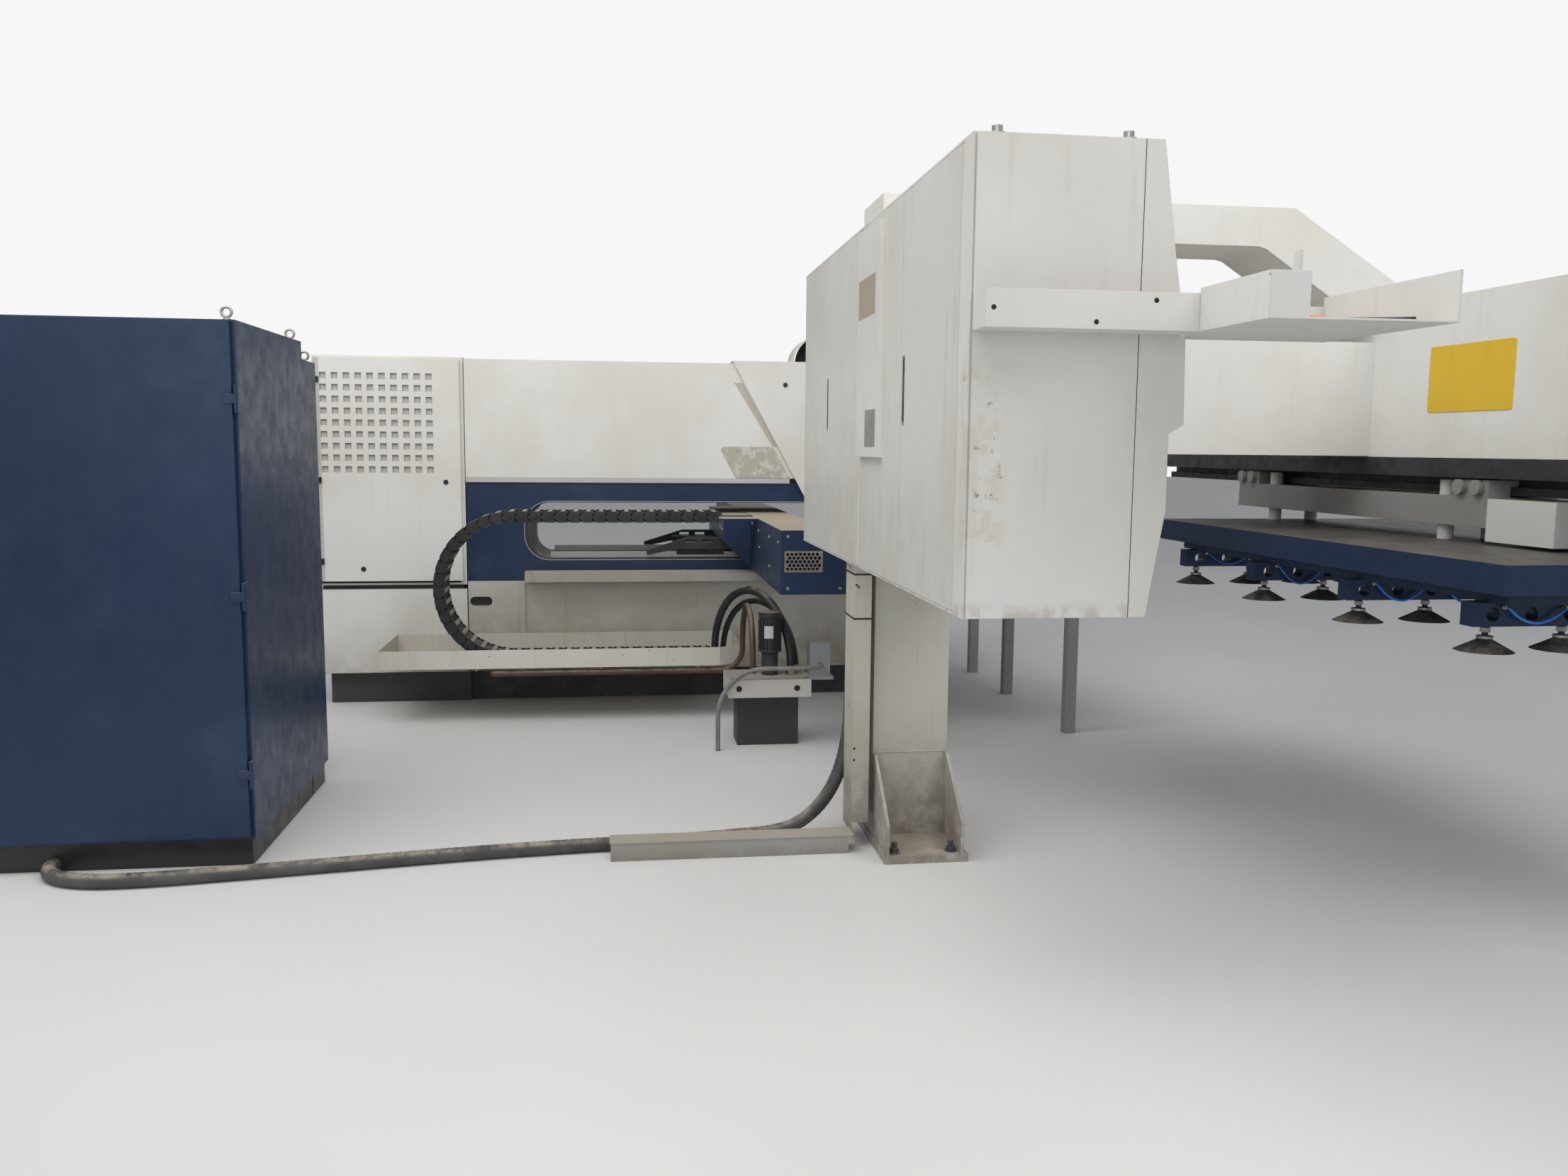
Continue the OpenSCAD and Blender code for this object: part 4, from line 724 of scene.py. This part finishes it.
# Energy chain, by the same driving sizes as the part's source
LINKS = 50
PITCH = 0.070
LINK_H = 0.064
CHAIN_W = 0.220
BEND_R = 0.396
BEND_X = -2.176
CHAIN_X0 = -1.010
CHAIN_Y = -0.830
CHAIN_HIGH = 1.154
CHAIN_LOW = CHAIN_HIGH - 2 * BEND_R
CHAIN_MID = CHAIN_HIGH - BEND_R
UPPER_RUN = CHAIN_X0 - BEND_X
HALF_H = LINK_H / 2
HALF_W = CHAIN_W / 2
WAIST = HALF_H - 0.006
SHOULDER = HALF_H - 0.001
HOLLOW_AT = 0.006
HOLLOW_R = 0.020
HOLLOW_ANGLES = (1.1, 0.55, 0.0, -0.55, -1.1)
PLATE_INSIDE = HALF_W - 0.010
PLATE_OUTSIDE = HALF_W - 0.002
HUB_R = 0.019
LUG = rectangle((0.028, 0.048), (-0.020, 0.020))
LUG_OUTSIDE = HALF_W - 0.0005
BAR_X = (0.038, 0.060)
BAR_T = 0.006
BAR_END = HALF_W - 0.009
CABLE_ROWS = (-0.066, -0.022, 0.022, 0.066)
CABLE_R = 0.0115
CABLE_STEP = 0.035
CABLE_START = 0.034
CABLE_INWARD = 0.016


def chain_point(s):
    """The point of the chain's middle line at a distance from its moving end."""
    if s < UPPER_RUN:
        return Vector((CHAIN_X0 - s, CHAIN_Y, CHAIN_HIGH))
    turned = (s - UPPER_RUN) / BEND_R
    if turned < pi:
        return Vector((BEND_X - BEND_R * sin(turned), CHAIN_Y, CHAIN_MID + BEND_R * cos(turned)))
    return Vector((BEND_X + (turned - pi) * BEND_R, CHAIN_Y, CHAIN_LOW))


def link_frame(i):
    """Maps a link's own (along, up, across) into the frame."""
    a, b = chain_point(i * PITCH), chain_point((i + 1) * PITCH)
    ahead = (b - a).normalized()
    up = Vector((-ahead.z, 0, ahead.x))
    return lambda u, v, w: a + ahead * u + up * v + Vector((0, w, 0))


def link_outline():
    """Side plate with a round nose, a narrower waist and the hollow for the next nose."""
    nose = arc(SHOULDER, -90, 90, 14, (PITCH, 0.0))
    hollow = [(HOLLOW_AT + HOLLOW_R * cos(t), HOLLOW_R * sin(t)) for t in HOLLOW_ANGLES]
    return [(0.004, -WAIST), (0.016, -WAIST), (0.024, -SHOULDER)] + nose + [
        (0.024, SHOULDER), (0.016, WAIST), (0.004, WAIST)] + hollow


def add_link(plates, hubs, bars, place):
    """Two side plates with their hubs and lugs, and the bars between them."""
    for s in (-1, 1):
        add_prism(plates, link_outline(), *sorted((s * PLATE_INSIDE, s * PLATE_OUTSIDE)), place)
        add_prism(hubs, circle(HUB_R, 16, (PITCH, 0.0)), *sorted((s * PLATE_OUTSIDE, s * HALF_W)), place)
        add_prism(hubs, LUG, *sorted((s * PLATE_OUTSIDE, s * LUG_OUTSIDE)), place)
    for v in (-HALF_H, HALF_H - BAR_T):
        add_prism(bars, rectangle(BAR_X, (v, v + BAR_T)), -BAR_END, BAR_END, place)


def chain_cable_line(across):
    """A cable's middle line, on the inner side of the chain's bend."""
    line = []
    for i in range(int(LINKS * PITCH / CABLE_STEP)):
        p = chain_point(CABLE_START + i * CABLE_STEP)
        centre = Vector((max(p.x, BEND_X), p.y, CHAIN_MID))
        line.append(p + (centre - p).normalized() * CABLE_INWARD + Vector((0, across, 0)))
    return line


def build_chain():
    plates, hubs, bars, cables = bmesh.new(), bmesh.new(), bmesh.new(), bmesh.new()
    for i in range(LINKS):
        add_link(plates, hubs, bars, link_frame(i))
    for across in CABLE_ROWS:
        add_tube(cables, chain_cable_line(across), CABLE_R, 12)
    black = matte("chain_black", (0.014, 0.0135, 0.0135), 0.42, 0.35)
    dusty = matte("chain_bar", (0.23, 0.215, 0.185), 0.50, 0.9)
    cable = matte("chain_cable", SOFT_BLACK, 0.45, 0.5)
    pieces = [add_piece("chain_plates", plates, black, body=None, bevel=0.0012),
              add_piece("chain_hubs", hubs, black, body=None, bevel=0.0008),
              add_piece("chain_bars", bars, dusty, body=None, bevel=0.0010),
              add_piece("chain_cables", cables, cable, body=None, smooth=True)]
    for obj in pieces:
        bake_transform(obj)
    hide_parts("energy_chain")


build_chain()


# Hoses between the chain's fixed end and the pump unit, in millimetres of the part's source;
# an arch is its foot, turn, span, rise and drop
ARCH_A = ((-1050, -850, 320), -62, 738, 78, 36)
ARCH_B = ((-1000, -820, 320), -59, 660, 50, 8)
ARCH_STEPS = 24
BEND_STEPS = 8
HOSE_A_R = 0.0218
HOSE_B_R = 0.0178
PIPE_R = 0.0158
PIPE_LEVEL = (-2300, -1600)
PIPE_X = -900
PIPE_Y = -945
PIPE_Z = 285
PIPE_BEND = 130
PIPE_ARCH = (-90, 520, 10, 63)
DRAIN_R = 0.0118
DRAIN_X = -1100
DRAIN_Y = -1666
DRAIN_Z = 181
DRAIN_BEND = 240
DRAIN_FOOT = 1
ELBOW = 90
ELBOW_X = -647
DRAIN_END_Y = -1560


def arch_points(foot, turn, span, rise, drop):
    """A hose line that rises, arches over in a half circle and comes down a span away."""
    along = Vector((cos(radians(turn)), sin(radians(turn)), 0))
    base = mm(*foot)
    rise, drop, half = rise * MM, drop * MM, span * MM / 2
    out = [base + Vector((0, 0, rise * t)) for t in (0.0, 0.5)]
    for i in range(ARCH_STEPS + 1):
        a = pi * i / ARCH_STEPS
        out.append(base + along * half * (1 - cos(a)) + Vector((0, 0, rise + half * sin(a))))
    return out + [out[-1] - Vector((0, 0, drop * t)) for t in (0.5, 1.0)]


def bend_up(x, y, z, radius, first, last):
    """Points of a bend in the XZ plane about a centre."""
    return [mm(u, y, v) for u, v in arc(radius, first, last, BEND_STEPS, (x, z))]


def brown_hose_line():
    """Along the tray, up in a bend and over in an arch."""
    top = PIPE_Z + PIPE_BEND
    level = [mm(x, PIPE_Y, PIPE_Z) for x in PIPE_LEVEL]
    rise = bend_up(PIPE_X - PIPE_BEND, PIPE_Y, top, PIPE_BEND, -90, 0)
    return level + rise[:-1] + arch_points((PIPE_X, PIPE_Y, top), *PIPE_ARCH)


def drain_line():
    """From the floor up in a wide bend, and round an elbow to the unit's box."""
    top = DRAIN_Z + DRAIN_BEND
    rise = bend_up(DRAIN_X + DRAIN_BEND, DRAIN_Y, DRAIN_Z, DRAIN_BEND, 180, 90)
    elbow = [mm(x, y, top) for x, y in arc(ELBOW, -90, 0, BEND_STEPS, (ELBOW_X, DRAIN_Y + ELBOW))]
    return [mm(DRAIN_X, DRAIN_Y, DRAIN_FOOT)] + rise + elbow + [mm(ELBOW_X + ELBOW, DRAIN_END_Y, top)]


def hose_collars(ends):
    """Hexagon nuts and collars at the hoses' ends; each end is (point, radius)."""
    bm = bmesh.new()
    for end, r in ends:
        place = along_axis("z", end)
        add_prism(bm, circle(r, 6), 0.001, 0.020, place)
        add_prism(bm, circle(r * 0.90, 24), 0.020, 0.034, place)
    add_piece("hose_collars", bm, brass, bevel=0.0012)


def base_hoses():
    corrugated = matte("corrugated_hose", RUBBER, 0.50, 0.45)
    brown = matte("brown_hose", (0.060, 0.035, 0.022), 0.50, 0.55)
    grey = matte("grey_hose", (0.16, 0.155, 0.15), 0.55, 0.5)
    arch_a, arch_b = arch_points(*ARCH_A), arch_points(*ARCH_B)
    black_hoses = tubes("base_hoses_black", [(arch_a, HOSE_A_R), (arch_b, HOSE_B_R)], corrugated,
                        sides=18, ribs=0.0030, step=0.0055)
    tubes("base_hose_brown", [(brown_hose_line(), PIPE_R)], brown, step=0.015)
    tubes("base_hose_drain", [(drain_line(), DRAIN_R)], grey, step=0.015)
    hose_collars([(arch_a[-1], 0.030), (arch_b[-1], 0.026), (arch_a[0], 0.030), (arch_b[0], 0.026)])
    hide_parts("base_hoses")


base_hoses()


# Screws and holes
SOCKET_SHARE = 0.48
SOCKET_PROUD = 0.0004
HOLE_PROUD = 0.0003


def screws(name, spots, radius, height, body="machine", mat=zinc, socket=True):
    """Cap screws; each spot is (x, y, z, axis, sign), and the head stands proud along the sign."""
    bm = bmesh.new()
    for x, y, z, axis, sign in spots:
        place = along_axis(axis, (x, y, z))
        top = height * sign
        add_prism(bm, circle(radius, 18), *sorted((-MM * sign, top)), place)
        if socket:
            add_prism(bm, circle(radius * SOCKET_SHARE, 6), *sorted((top, top + SOCKET_PROUD * sign)), place)
    add_piece(name, bm, mat, body, bevel=0.0006)


def holes(name, spots, radius, height=HOLE_PROUD):
    """Dark round marks where holes or rivets are, on the near side; on a hole the dark mark is painted shade
    of its inside.
    """
    screws(name, [(*spot, "y", -1) for spot in spots], radius, height, mat=hole_shade_and_seam_black,
           socket=False)


TRAY_HOLES_XZ = ((-0.730, 1.881), (-0.476, 1.852), (-0.327, 1.906))
GRILLE_INSET = 0.009
RAIL_INSET_X = 0.035
RAIL_INSET_Z = 0.030
RAIL_SIDE_X = -0.815
SADDLE_SIDE_X = -0.975
SADDLE_BOLTS_YZ = ((-0.47, 1.105), (-0.36, 1.06), (-0.47, 1.055))
RAIL_BOLTS_YZ = ((-0.66, 1.10), (-0.98, 1.08), (-1.02, 0.99), (-1.45, 1.08), (-1.48, 0.93), (-1.80, 1.08))
CHANNEL_RIVETS = ((0.008, 1.030), (0.016, 1.022), (0.008, 0.395), (0.008, 0.350))
CHANNEL_SCREWS_Z = (0.16, 0.55, 1.09)


def rail_screws():
    """Screws of the grille, of the rail's end plate and of its near side."""
    low, high = corners("rail_grille")
    xs = (low.x + GRILLE_INSET, high.x - GRILLE_INSET)
    zs = (low.z + GRILLE_INSET, high.z - GRILLE_INSET)
    screws("grille_screws", [(x, low.y, z, "y", -1) for x in xs for z in zs], 0.0048, 0.0020, "cross_rail")
    low, high = corners("cross_rail")
    xs = (high.x - RAIL_INSET_X, RAIL_SIDE_X + RAIL_INSET_X)
    zs = (low.z + RAIL_INSET_Z, high.z - RAIL_INSET_Z)
    screws("rail_end_screws", [(x, low.y, z, "y", -1) for x in xs for z in zs], 0.0075, 0.0040, "cross_rail")
    bolts = [(SADDLE_SIDE_X, *spot, "x", -1) for spot in SADDLE_BOLTS_YZ]
    bolts += [(RAIL_SIDE_X, *spot, "x", -1) for spot in RAIL_BOLTS_YZ]
    screws("rail_side_bolts", bolts, 0.009, 0.006, "cross_rail")


def channel_screws():
    """Rivets on the near face of the cable channel, and screws on its left side."""
    middle = (channel_low.y + channel_high.y) / 2
    rivets = [(channel_low.x + inset, channel_low.y, z) for inset, z in CHANNEL_RIVETS]
    holes("channel_rivets", rivets, 0.0045, 0.0012)
    screws("channel_screws", [(channel_low.x, middle, z, "x", -1) for z in CHANNEL_SCREWS_Z], 0.006, 0.0025)


channel_low, channel_high = corners("cable_channel")
tray_y = corners("cable_tray")[0].y
# Painted shade: dark marks for the tray's holes.
holes("tray_holes", [(x, tray_y, z) for x, z in TRAY_HOLES_XZ], 0.0065)
rail_screws()
channel_screws()

# Yellow plate on the beam, standing proud of its near face
YELLOW_YZ = ((-3.976, 1.696), (-3.535, 1.938))
YELLOW_T = 0.003
YELLOW_CORNER = 0.012


def yellow_plate():
    face = corners("loader_beam")[0].x
    (y0, z0), (y1, z1) = YELLOW_YZ
    r = YELLOW_CORNER
    outline = []
    for centre, start in (((y1 - r, z1 - r), 0), ((y0 + r, z1 - r), 90),
                          ((y0 + r, z0 + r), 180), ((y1 - r, z0 + r), 270)):
        outline += arc(r, start, start + 90, 3, centre)
    bm = bmesh.new()
    add_prism(bm, outline, face - YELLOW_T, face + SUNK, along_axis("x"))
    paint = enamel("yellow_plate", (0.72, 0.47, 0.02), (0.2, 0.25, 0.2), rough=0.45, edge=0.0008)
    add_piece("yellow_plate", bm, paint, bevel=0.0015)


yellow_plate()

# Cam lock of the head cover
CAM_X = -0.584
CAM_Z = 1.921
KEY_HALF_W = 0.0015
KEY_HALF_H = 0.006


def head_cover_lock():
    """Round lock with a raised core and a key slot."""
    face = corners("head_cover")[0].y
    bm = bmesh.new()
    add_prism(bm, circle(0.014, 28, (CAM_X, CAM_Z)), face - 0.005, face + MM, along_axis("y"))
    add_prism(bm, circle(0.010, 24, (CAM_X, CAM_Z)), face - 0.007, face - 0.004, along_axis("y"))
    add_piece("head_cover_lock", bm, plastic, bevel=0.0010)
    bm = bmesh.new()
    # Painted shade: the dark key slot.
    add_box(bm, (CAM_X - KEY_HALF_W, face - 0.0074, CAM_Z - KEY_HALF_H),
            (CAM_X + KEY_HALF_W, face - 0.0066, CAM_Z + KEY_HALF_H))
    add_piece("head_cover_key_slot", bm, hole_shade_and_seam_black)


head_cover_lock()

# Light lip of the throat's cut-out in the blue covers
LIP_END = 0.380
LIP_BACK_X = -2.150
LIP_LOW = 0.858
LIP_HIGH = 1.215
LIP_R = 0.150
LIP_W = 0.0045
LIP_Y = (0.3205, 0.312)


def lip_rows(bm, line, side):
    """Four rows of corners along the lip: its two edges, on its face and on its back."""
    inner, outer = [], []
    for i, (u, v) in enumerate(line):
        p, q = line[max(i - 1, 0)], line[min(i + 1, len(line) - 1)]
        du, dv = q[0] - p[0], q[1] - p[1]
        size = hypot(du, dv)
        inner.append((u, v))
        outer.append((u + dv / size * LIP_W, v - du / size * LIP_W))
    return [[bm.verts.new((u, side * y, v)) for u, v in edge] for y in LIP_Y for edge in (inner, outer)]


def throat_lips():
    """Light edge round the cut-out, on both sides of the press."""
    centre_x = LIP_BACK_X + LIP_R
    line = [(LIP_END, LIP_LOW)] + arc(LIP_R, 270, 180, 9, (centre_x, LIP_LOW + LIP_R))
    line += arc(LIP_R, 180, 90, 9, (centre_x, LIP_HIGH - LIP_R)) + [(LIP_END, LIP_HIGH)]
    bm = bmesh.new()
    for side in (-1, 1):
        rows = lip_rows(bm, line, side)
        for i in range(len(line) - 1):
            for a, b in ((0, 1), (1, 3), (3, 2), (2, 0)):
                bm.faces.new((rows[a][i], rows[a][i + 1], rows[b][i + 1], rows[b][i]))
        for i in (0, len(line) - 1):
            bm.faces.new((rows[0][i], rows[1][i], rows[3][i], rows[2][i]))
    paint = enamel("light_lip", (0.33, 0.36, 0.41), (0.3, 0.3, 0.1), rough=0.4, edge=0.001)
    add_piece("throat_lips", bm, paint)


throat_lips()

# Painted shade of the recess beside the head cover's slanted edge
RECESS_BAND = [(-0.893, 1.930), (-0.842, 1.930), (-0.629, 1.548), (-0.657, 1.548)]


def cover_recess():
    """Painted shade: a darker beige band on the upper cover beside the head cover's slanted edge, in the
    recess that the proud cover shades.
    """
    face = corners("upper_cover")[0].y
    bm = bmesh.new()
    add_prism(bm, RECESS_BAND, face - 0.0006, face + MM, along_axis("y"))
    paint = enamel("recess_shade", (0.47, 0.44, 0.37), (0.3, 0.5, 0.2), rough=0.5, edge=0.0005)
    add_piece("cover_recess", bm, paint)


cover_recess()

# Cables in the tray and the pan; z is the height over the tray's floor
TRAY_FLOOR = 1.840
BLACK_CABLES = 4
BLACK_LINE = ((-0.70, -4.885, -0.012, 0.009), (-0.45, -4.888, -0.014, 0.011), (-0.24, -4.900, -0.010, 0.009),
              (-0.13, -4.960, -0.012, 0.011), (0.02, -5.06, -0.014, 0.010), (0.19, -5.15, -0.010, 0.009))
ORANGE_LONG = ((-0.62, -4.872, 0.044), (-0.36, -4.880, 0.026), (-0.20, -4.910, 0.026),
               (-0.06, -4.980, 0.028), (0.10, -4.985, 0.012), (0.20, -4.90, 0.010))
ORANGE_SHORT = ((-0.56, -4.890, 0.026), (-0.30, -4.900, 0.027), (-0.14, -4.950, 0.028),
                (0.00, -5.020, 0.026), (0.14, -5.050, 0.010))


def tray_cables():
    """Four black cables side by side, and two orange ones over them."""
    black_runs = [([Vector((x, y + apart * k, TRAY_FLOOR + z)) for x, y, apart, z in BLACK_LINE], 0.0075)
                  for k in range(BLACK_CABLES)]
    orange_runs = [([Vector((x, y, TRAY_FLOOR + z)) for x, y, z in line], 0.0068)
                   for line in (ORANGE_LONG, ORANGE_SHORT)]
    tubes("tray_cables_black", black_runs, matte("black_cable", SOFT_BLACK, 0.45, 0.5))
    tubes("tray_cables_orange", orange_runs, matte("orange_cable", (0.55, 0.14, 0.02), 0.45, 0.4))


tray_cables()

# Air hoses of the suction cups, in loose loops beside each arm
ARM_ROWS_Y = (-4.400, -3.750, -3.100, -2.500)
AIR_BAYS = 4
BAY_X0 = 1.030
BAY_PITCH = 0.260
AIR_SIDE = -0.036
AIR_R = 0.0048
AIR_SAG = 0.045
AIR_SAG_MORE = 0.012
SAG_STEPS = 6


def hanging(a, b, sag):
    """A line from one point to another that sags in its middle."""
    out = []
    for i in range(SAG_STEPS + 1):
        t = i / SAG_STEPS
        out.append(a.lerp(b, t) - Vector((0, 0, 4 * sag * t * (1 - t))))
    return out


def air_hose_line(start, end, sag):
    """Out of one fitting, down in a loop beside the arm, and into the next."""
    loop = hanging(start + Vector((0.004, -0.012, -0.001)), end + Vector((-0.004, -0.012, -0.001)), sag)
    return [start + Vector((0, 0.006, 0))] + loop + [end + Vector((0, 0.006, 0))]


def air_hoses():
    blue_runs, yellow_runs = [], []
    fittings = bmesh.new()
    for k, y in enumerate(ARM_ROWS_Y):
        for i in range(AIR_BAYS):
            x = BAY_X0 + BAY_PITCH * i
            ends = Vector((x + 0.030, y + AIR_SIDE, 1.085)), Vector((x + 0.232, y + AIR_SIDE, 1.080))
            sag = AIR_SAG + AIR_SAG_MORE * ((i + k) % 3)
            runs = yellow_runs if (i + 2 * k) % 4 == 1 else blue_runs
            runs.append((air_hose_line(*ends, sag), AIR_R))
            for end in ends:
                add_prism(fittings, circle(0.009, 6), -0.004, 0.008, along_axis("y", end))
                add_prism(fittings, circle(0.0065, 18), -0.010, -0.003, along_axis("y", end))
    blue = matte("blue_air_hose", (0.02, 0.12, 0.42), 0.35, 0.3)
    yellow = matte("yellow_air_hose", (0.62, 0.46, 0.03), 0.35, 0.3)
    tubes("air_hoses_blue", blue_runs, blue, body="suction_lift", sides=10, step=0.010)
    tubes("air_hoses_yellow", yellow_runs, yellow, body="suction_lift", sides=10, step=0.010)
    add_piece("air_fittings", fittings, brass, "suction_lift", 0.0006)


air_hoses()

# Straps of the cable channel and ties of the hose in it
STRAPS_Z = (1.070, 0.900)
STRAP_PROUD = 0.0014
STRAP_T = 0.0016
STRAP_HALF = 0.0035
TIE_R = 0.0295
TIE_HALF = 0.004


def cable_ties():
    """Straps round the channel, and ties round the hose inside its open side."""
    x0, x1 = channel_low.x - STRAP_PROUD, channel_high.x + STRAP_PROUD
    y0, y1 = channel_low.y - STRAP_PROUD, channel_high.y + MM
    hose = mm(*HOSE_ROUTE[0])
    bm = bmesh.new()
    for z in STRAPS_Z:
        lo, hi = z - STRAP_HALF, z + STRAP_HALF
        add_box(bm, (x0, y0, lo), (x1, y0 + STRAP_T, hi))
        add_box(bm, (x0, y0, lo), (x0 + STRAP_T, y1, hi))
        add_box(bm, (x1 - STRAP_T, y0, lo), (x1, y1, hi))
        add_prism(bm, circle(TIE_R, 24, (hose.x, hose.y)), z - TIE_HALF, z + TIE_HALF, along_axis("z"))
        add_box(bm, (hose.x - 0.012, hose.y + TIE_R, z - 0.006), (hose.x - 0.003, hose.y + 0.039, z + 0.006))
    add_piece("cable_ties", bm, plastic, bevel=0.0006)


cable_ties()

# Weld beads where the column's gussets and foot meet its near face
WELD_INSET = 0.003
WELD_Z = (0.031, 0.150, 0.358)
TOP_WELD_X = (-0.606, -0.334)
TOP_WELD_Z = 0.362


def column_welds():
    low, high = corners("column")
    xs = (low.x + WELD_INSET, high.x - WELD_INSET)
    upright = [([Vector((x, low.y, z)) for z in WELD_Z], 0.0035) for x in xs]
    across = ([Vector((x, low.y - MM, TOP_WELD_Z)) for x in TOP_WELD_X], 0.0025)
    bead = matte("weld_bead", (0.40, 0.38, 0.34), 0.6, 0.3)
    tubes("column_welds", upright + [across], bead, sides=8, step=0.006)


column_welds()

# Dark seams of the raised cabinet
DOORS = 4
DOORS_Y0 = -4.770
DOOR_PITCH = 0.62875
DOOR_SEAM_X = (-0.7350, -0.7345)
DOOR_SEAM_Z = (1.140, 2.290)
SEAM_HALF = 0.0010


def cabinet_seams():
    """Rubber seams between the doors, and the dark joint of the rear housing."""
    bm = bmesh.new()
    for i in range(1, DOORS):
        y = DOORS_Y0 + DOOR_PITCH * i
        add_prism(bm, rectangle(DOOR_SEAM_X, (y - SEAM_HALF, y + SEAM_HALF)), *DOOR_SEAM_Z, along_axis("z"))
    add_piece("door_seams", bm, hole_shade_and_seam_black)
    low, high = corners("raised_cabinet")
    bm = bmesh.new()
    add_box(bm, (high.x - MM, low.y - SUNK, low.z + MM), (high.x + 0.0006, low.y + MM, high.z - MM))
    add_piece("housing_seam", bm, hole_shade_and_seam_black)


cabinet_seams()

# Fittings of the pump unit
MOTOR_AT = (-0.815, -1.500, 0)
PATCH_R = (0.0607, 0.0617)
PATCH_Z = (0.560, 0.625)
UNIT_HOLES_X = (-0.990, -0.690)
UNIT_HOLES_Z = 0.315
UNIT_SCREWS_X = (-1.02, -0.64)
UNIT_SCREWS_Y = (-1.63, -1.37)
UNIT_TOP = 0.362
SPRING_TURNS = 12
SPRING_Z = 0.375
SPRING_PITCH = 0.0085
SPRING_R = 0.0437
SPRING_WIRE = 0.0045


def motor_patch():
    """Plain light patch, bent round the motor."""
    bm = bmesh.new()
    inner, outer = [arc(r, 235, 280, 9) for r in PATCH_R]
    for i in range(len(inner) - 1):
        add_prism(bm, [inner[i], outer[i], outer[i + 1], inner[i + 1]], *PATCH_Z, along_axis("z", MOTOR_AT))
    paint = enamel("bare_patch", (0.55, 0.56, 0.56), (0.2, 0.4, 0.1), rough=0.4, edge=0.0005)
    add_piece("motor_patch", bm, paint)


def motor_spring():
    """Ribs round the motor's lower stretch, every second one larger."""
    bm = bmesh.new()
    for i in range(SPRING_TURNS):
        z = SPRING_Z + SPRING_PITCH * i
        add_prism(bm, circle(SPRING_R + 0.0010 * (i % 2), 36), z, z + SPRING_WIRE, along_axis("z", MOTOR_AT))
    add_piece("motor_spring", bm, dark, bevel=0.0006)


unit_y = corners("drive_unit")[0].y
motor_patch()
# Painted shade: dark marks for the unit plate's holes.
holes("unit_plate_holes", [(x, unit_y, UNIT_HOLES_Z) for x in UNIT_HOLES_X], 0.016)
screws("unit_plate_screws", [(x, y, UNIT_TOP, "z", 1) for x in UNIT_SCREWS_X for y in UNIT_SCREWS_Y],
       0.010, 0.006)
motor_spring()

# Nuts and washers of the suction cups, five to an arm
CUPS = 5
CUP_INSET = 0.105
NUT_Z = (1.003, 1.018)
WASHER_Z = (0.983, 0.992)


def cup_nuts():
    low, high = corners("suction_frame")
    pitch = (high.x - low.x - 2 * CUP_INSET) / (CUPS - 1)
    bm = bmesh.new()
    for y in ARM_ROWS_Y:
        for i in range(CUPS):
            place = along_axis("z", (low.x + CUP_INSET + i * pitch, y, 0))
            add_prism(bm, circle(0.016, 6), *NUT_Z, place)
            add_prism(bm, circle(0.024, 24), *WASHER_Z, place)
    add_piece("cup_nuts", bm, zinc, "suction_lift", 0.0008)


cup_nuts()

# Floor, lamps and world
FLOOR_SIZE = 60.0
WARM = (1.0, 0.985, 0.955)
COOL = (0.96, 0.98, 1.0)
BACKDROP = (0.93, 0.93, 0.93, 1)
SKY = (0.93, 0.96, 1.0, 1)
SKY_STRENGTH = 0.40


def add_floor():
    """Pale floor with faint clouds."""
    mesh = bpy.data.meshes.new("floor")
    bm = bmesh.new()
    bmesh.ops.create_grid(bm, x_segments=1, y_segments=1, size=FLOOR_SIZE)
    bm.to_mesh(mesh)
    bm.free()
    f = Finish("studio_floor", 0.75)
    f.colour(f.mix(f.spots(0.6, 0.3, 0.7, 3, 0.5), (0.66, 0.655, 0.645), (0.69, 0.685, 0.675)))
    mesh.materials.append(f.mat)
    new_object("floor", mesh)


def lamp(name, at, aim, size, power, colour):
    """A rectangular area light that looks at a point."""
    data = bpy.data.lights.new(name, "AREA")
    data.shape = "RECTANGLE"
    data.size, data.size_y = size
    data.energy = power
    data.color = colour
    obj = new_object(name, data)
    obj.location = at
    obj.rotation_euler = (Vector(aim) - Vector(at)).to_track_quat("-Z", "Y").to_euler()


def add_world():
    """White for the camera, and a dimmer, cooler light for the object."""
    world = bpy.data.worlds.new("studio")
    bpy.context.scene.world = world
    world.use_nodes = True
    nodes, links = world.node_tree.nodes, world.node_tree.links
    nodes.clear()
    seen = nodes.new("ShaderNodeBackground")
    seen.inputs["Color"].default_value = BACKDROP
    lit = nodes.new("ShaderNodeBackground")
    lit.inputs["Color"].default_value = SKY
    lit.inputs["Strength"].default_value = SKY_STRENGTH
    path = nodes.new("ShaderNodeLightPath")
    share = nodes.new("ShaderNodeMixShader")
    links.new(path.outputs["Is Camera Ray"], share.inputs[0])
    links.new(lit.outputs[0], share.inputs[1])
    links.new(seen.outputs[0], share.inputs[2])
    out = nodes.new("ShaderNodeOutputWorld")
    links.new(share.outputs[0], out.inputs["Surface"])


add_floor()
lamp("ceiling_left", at=(-3.5, -4.0, 5.6), aim=(-1.8, -0.8, 0.8), size=(6.0, 4.0), power=225, colour=WARM)
lamp("ceiling_right", at=(2.2, -6.5, 5.8), aim=(0.2, -3.2, 1.0), size=(5.0, 4.0), power=170, colour=WARM)
lamp("front_fill", at=(-3.2, -9.5, 3.0), aim=(-1.4, -2.0, 1.0), size=(5.0, 3.0), power=70, colour=COOL)
add_world()
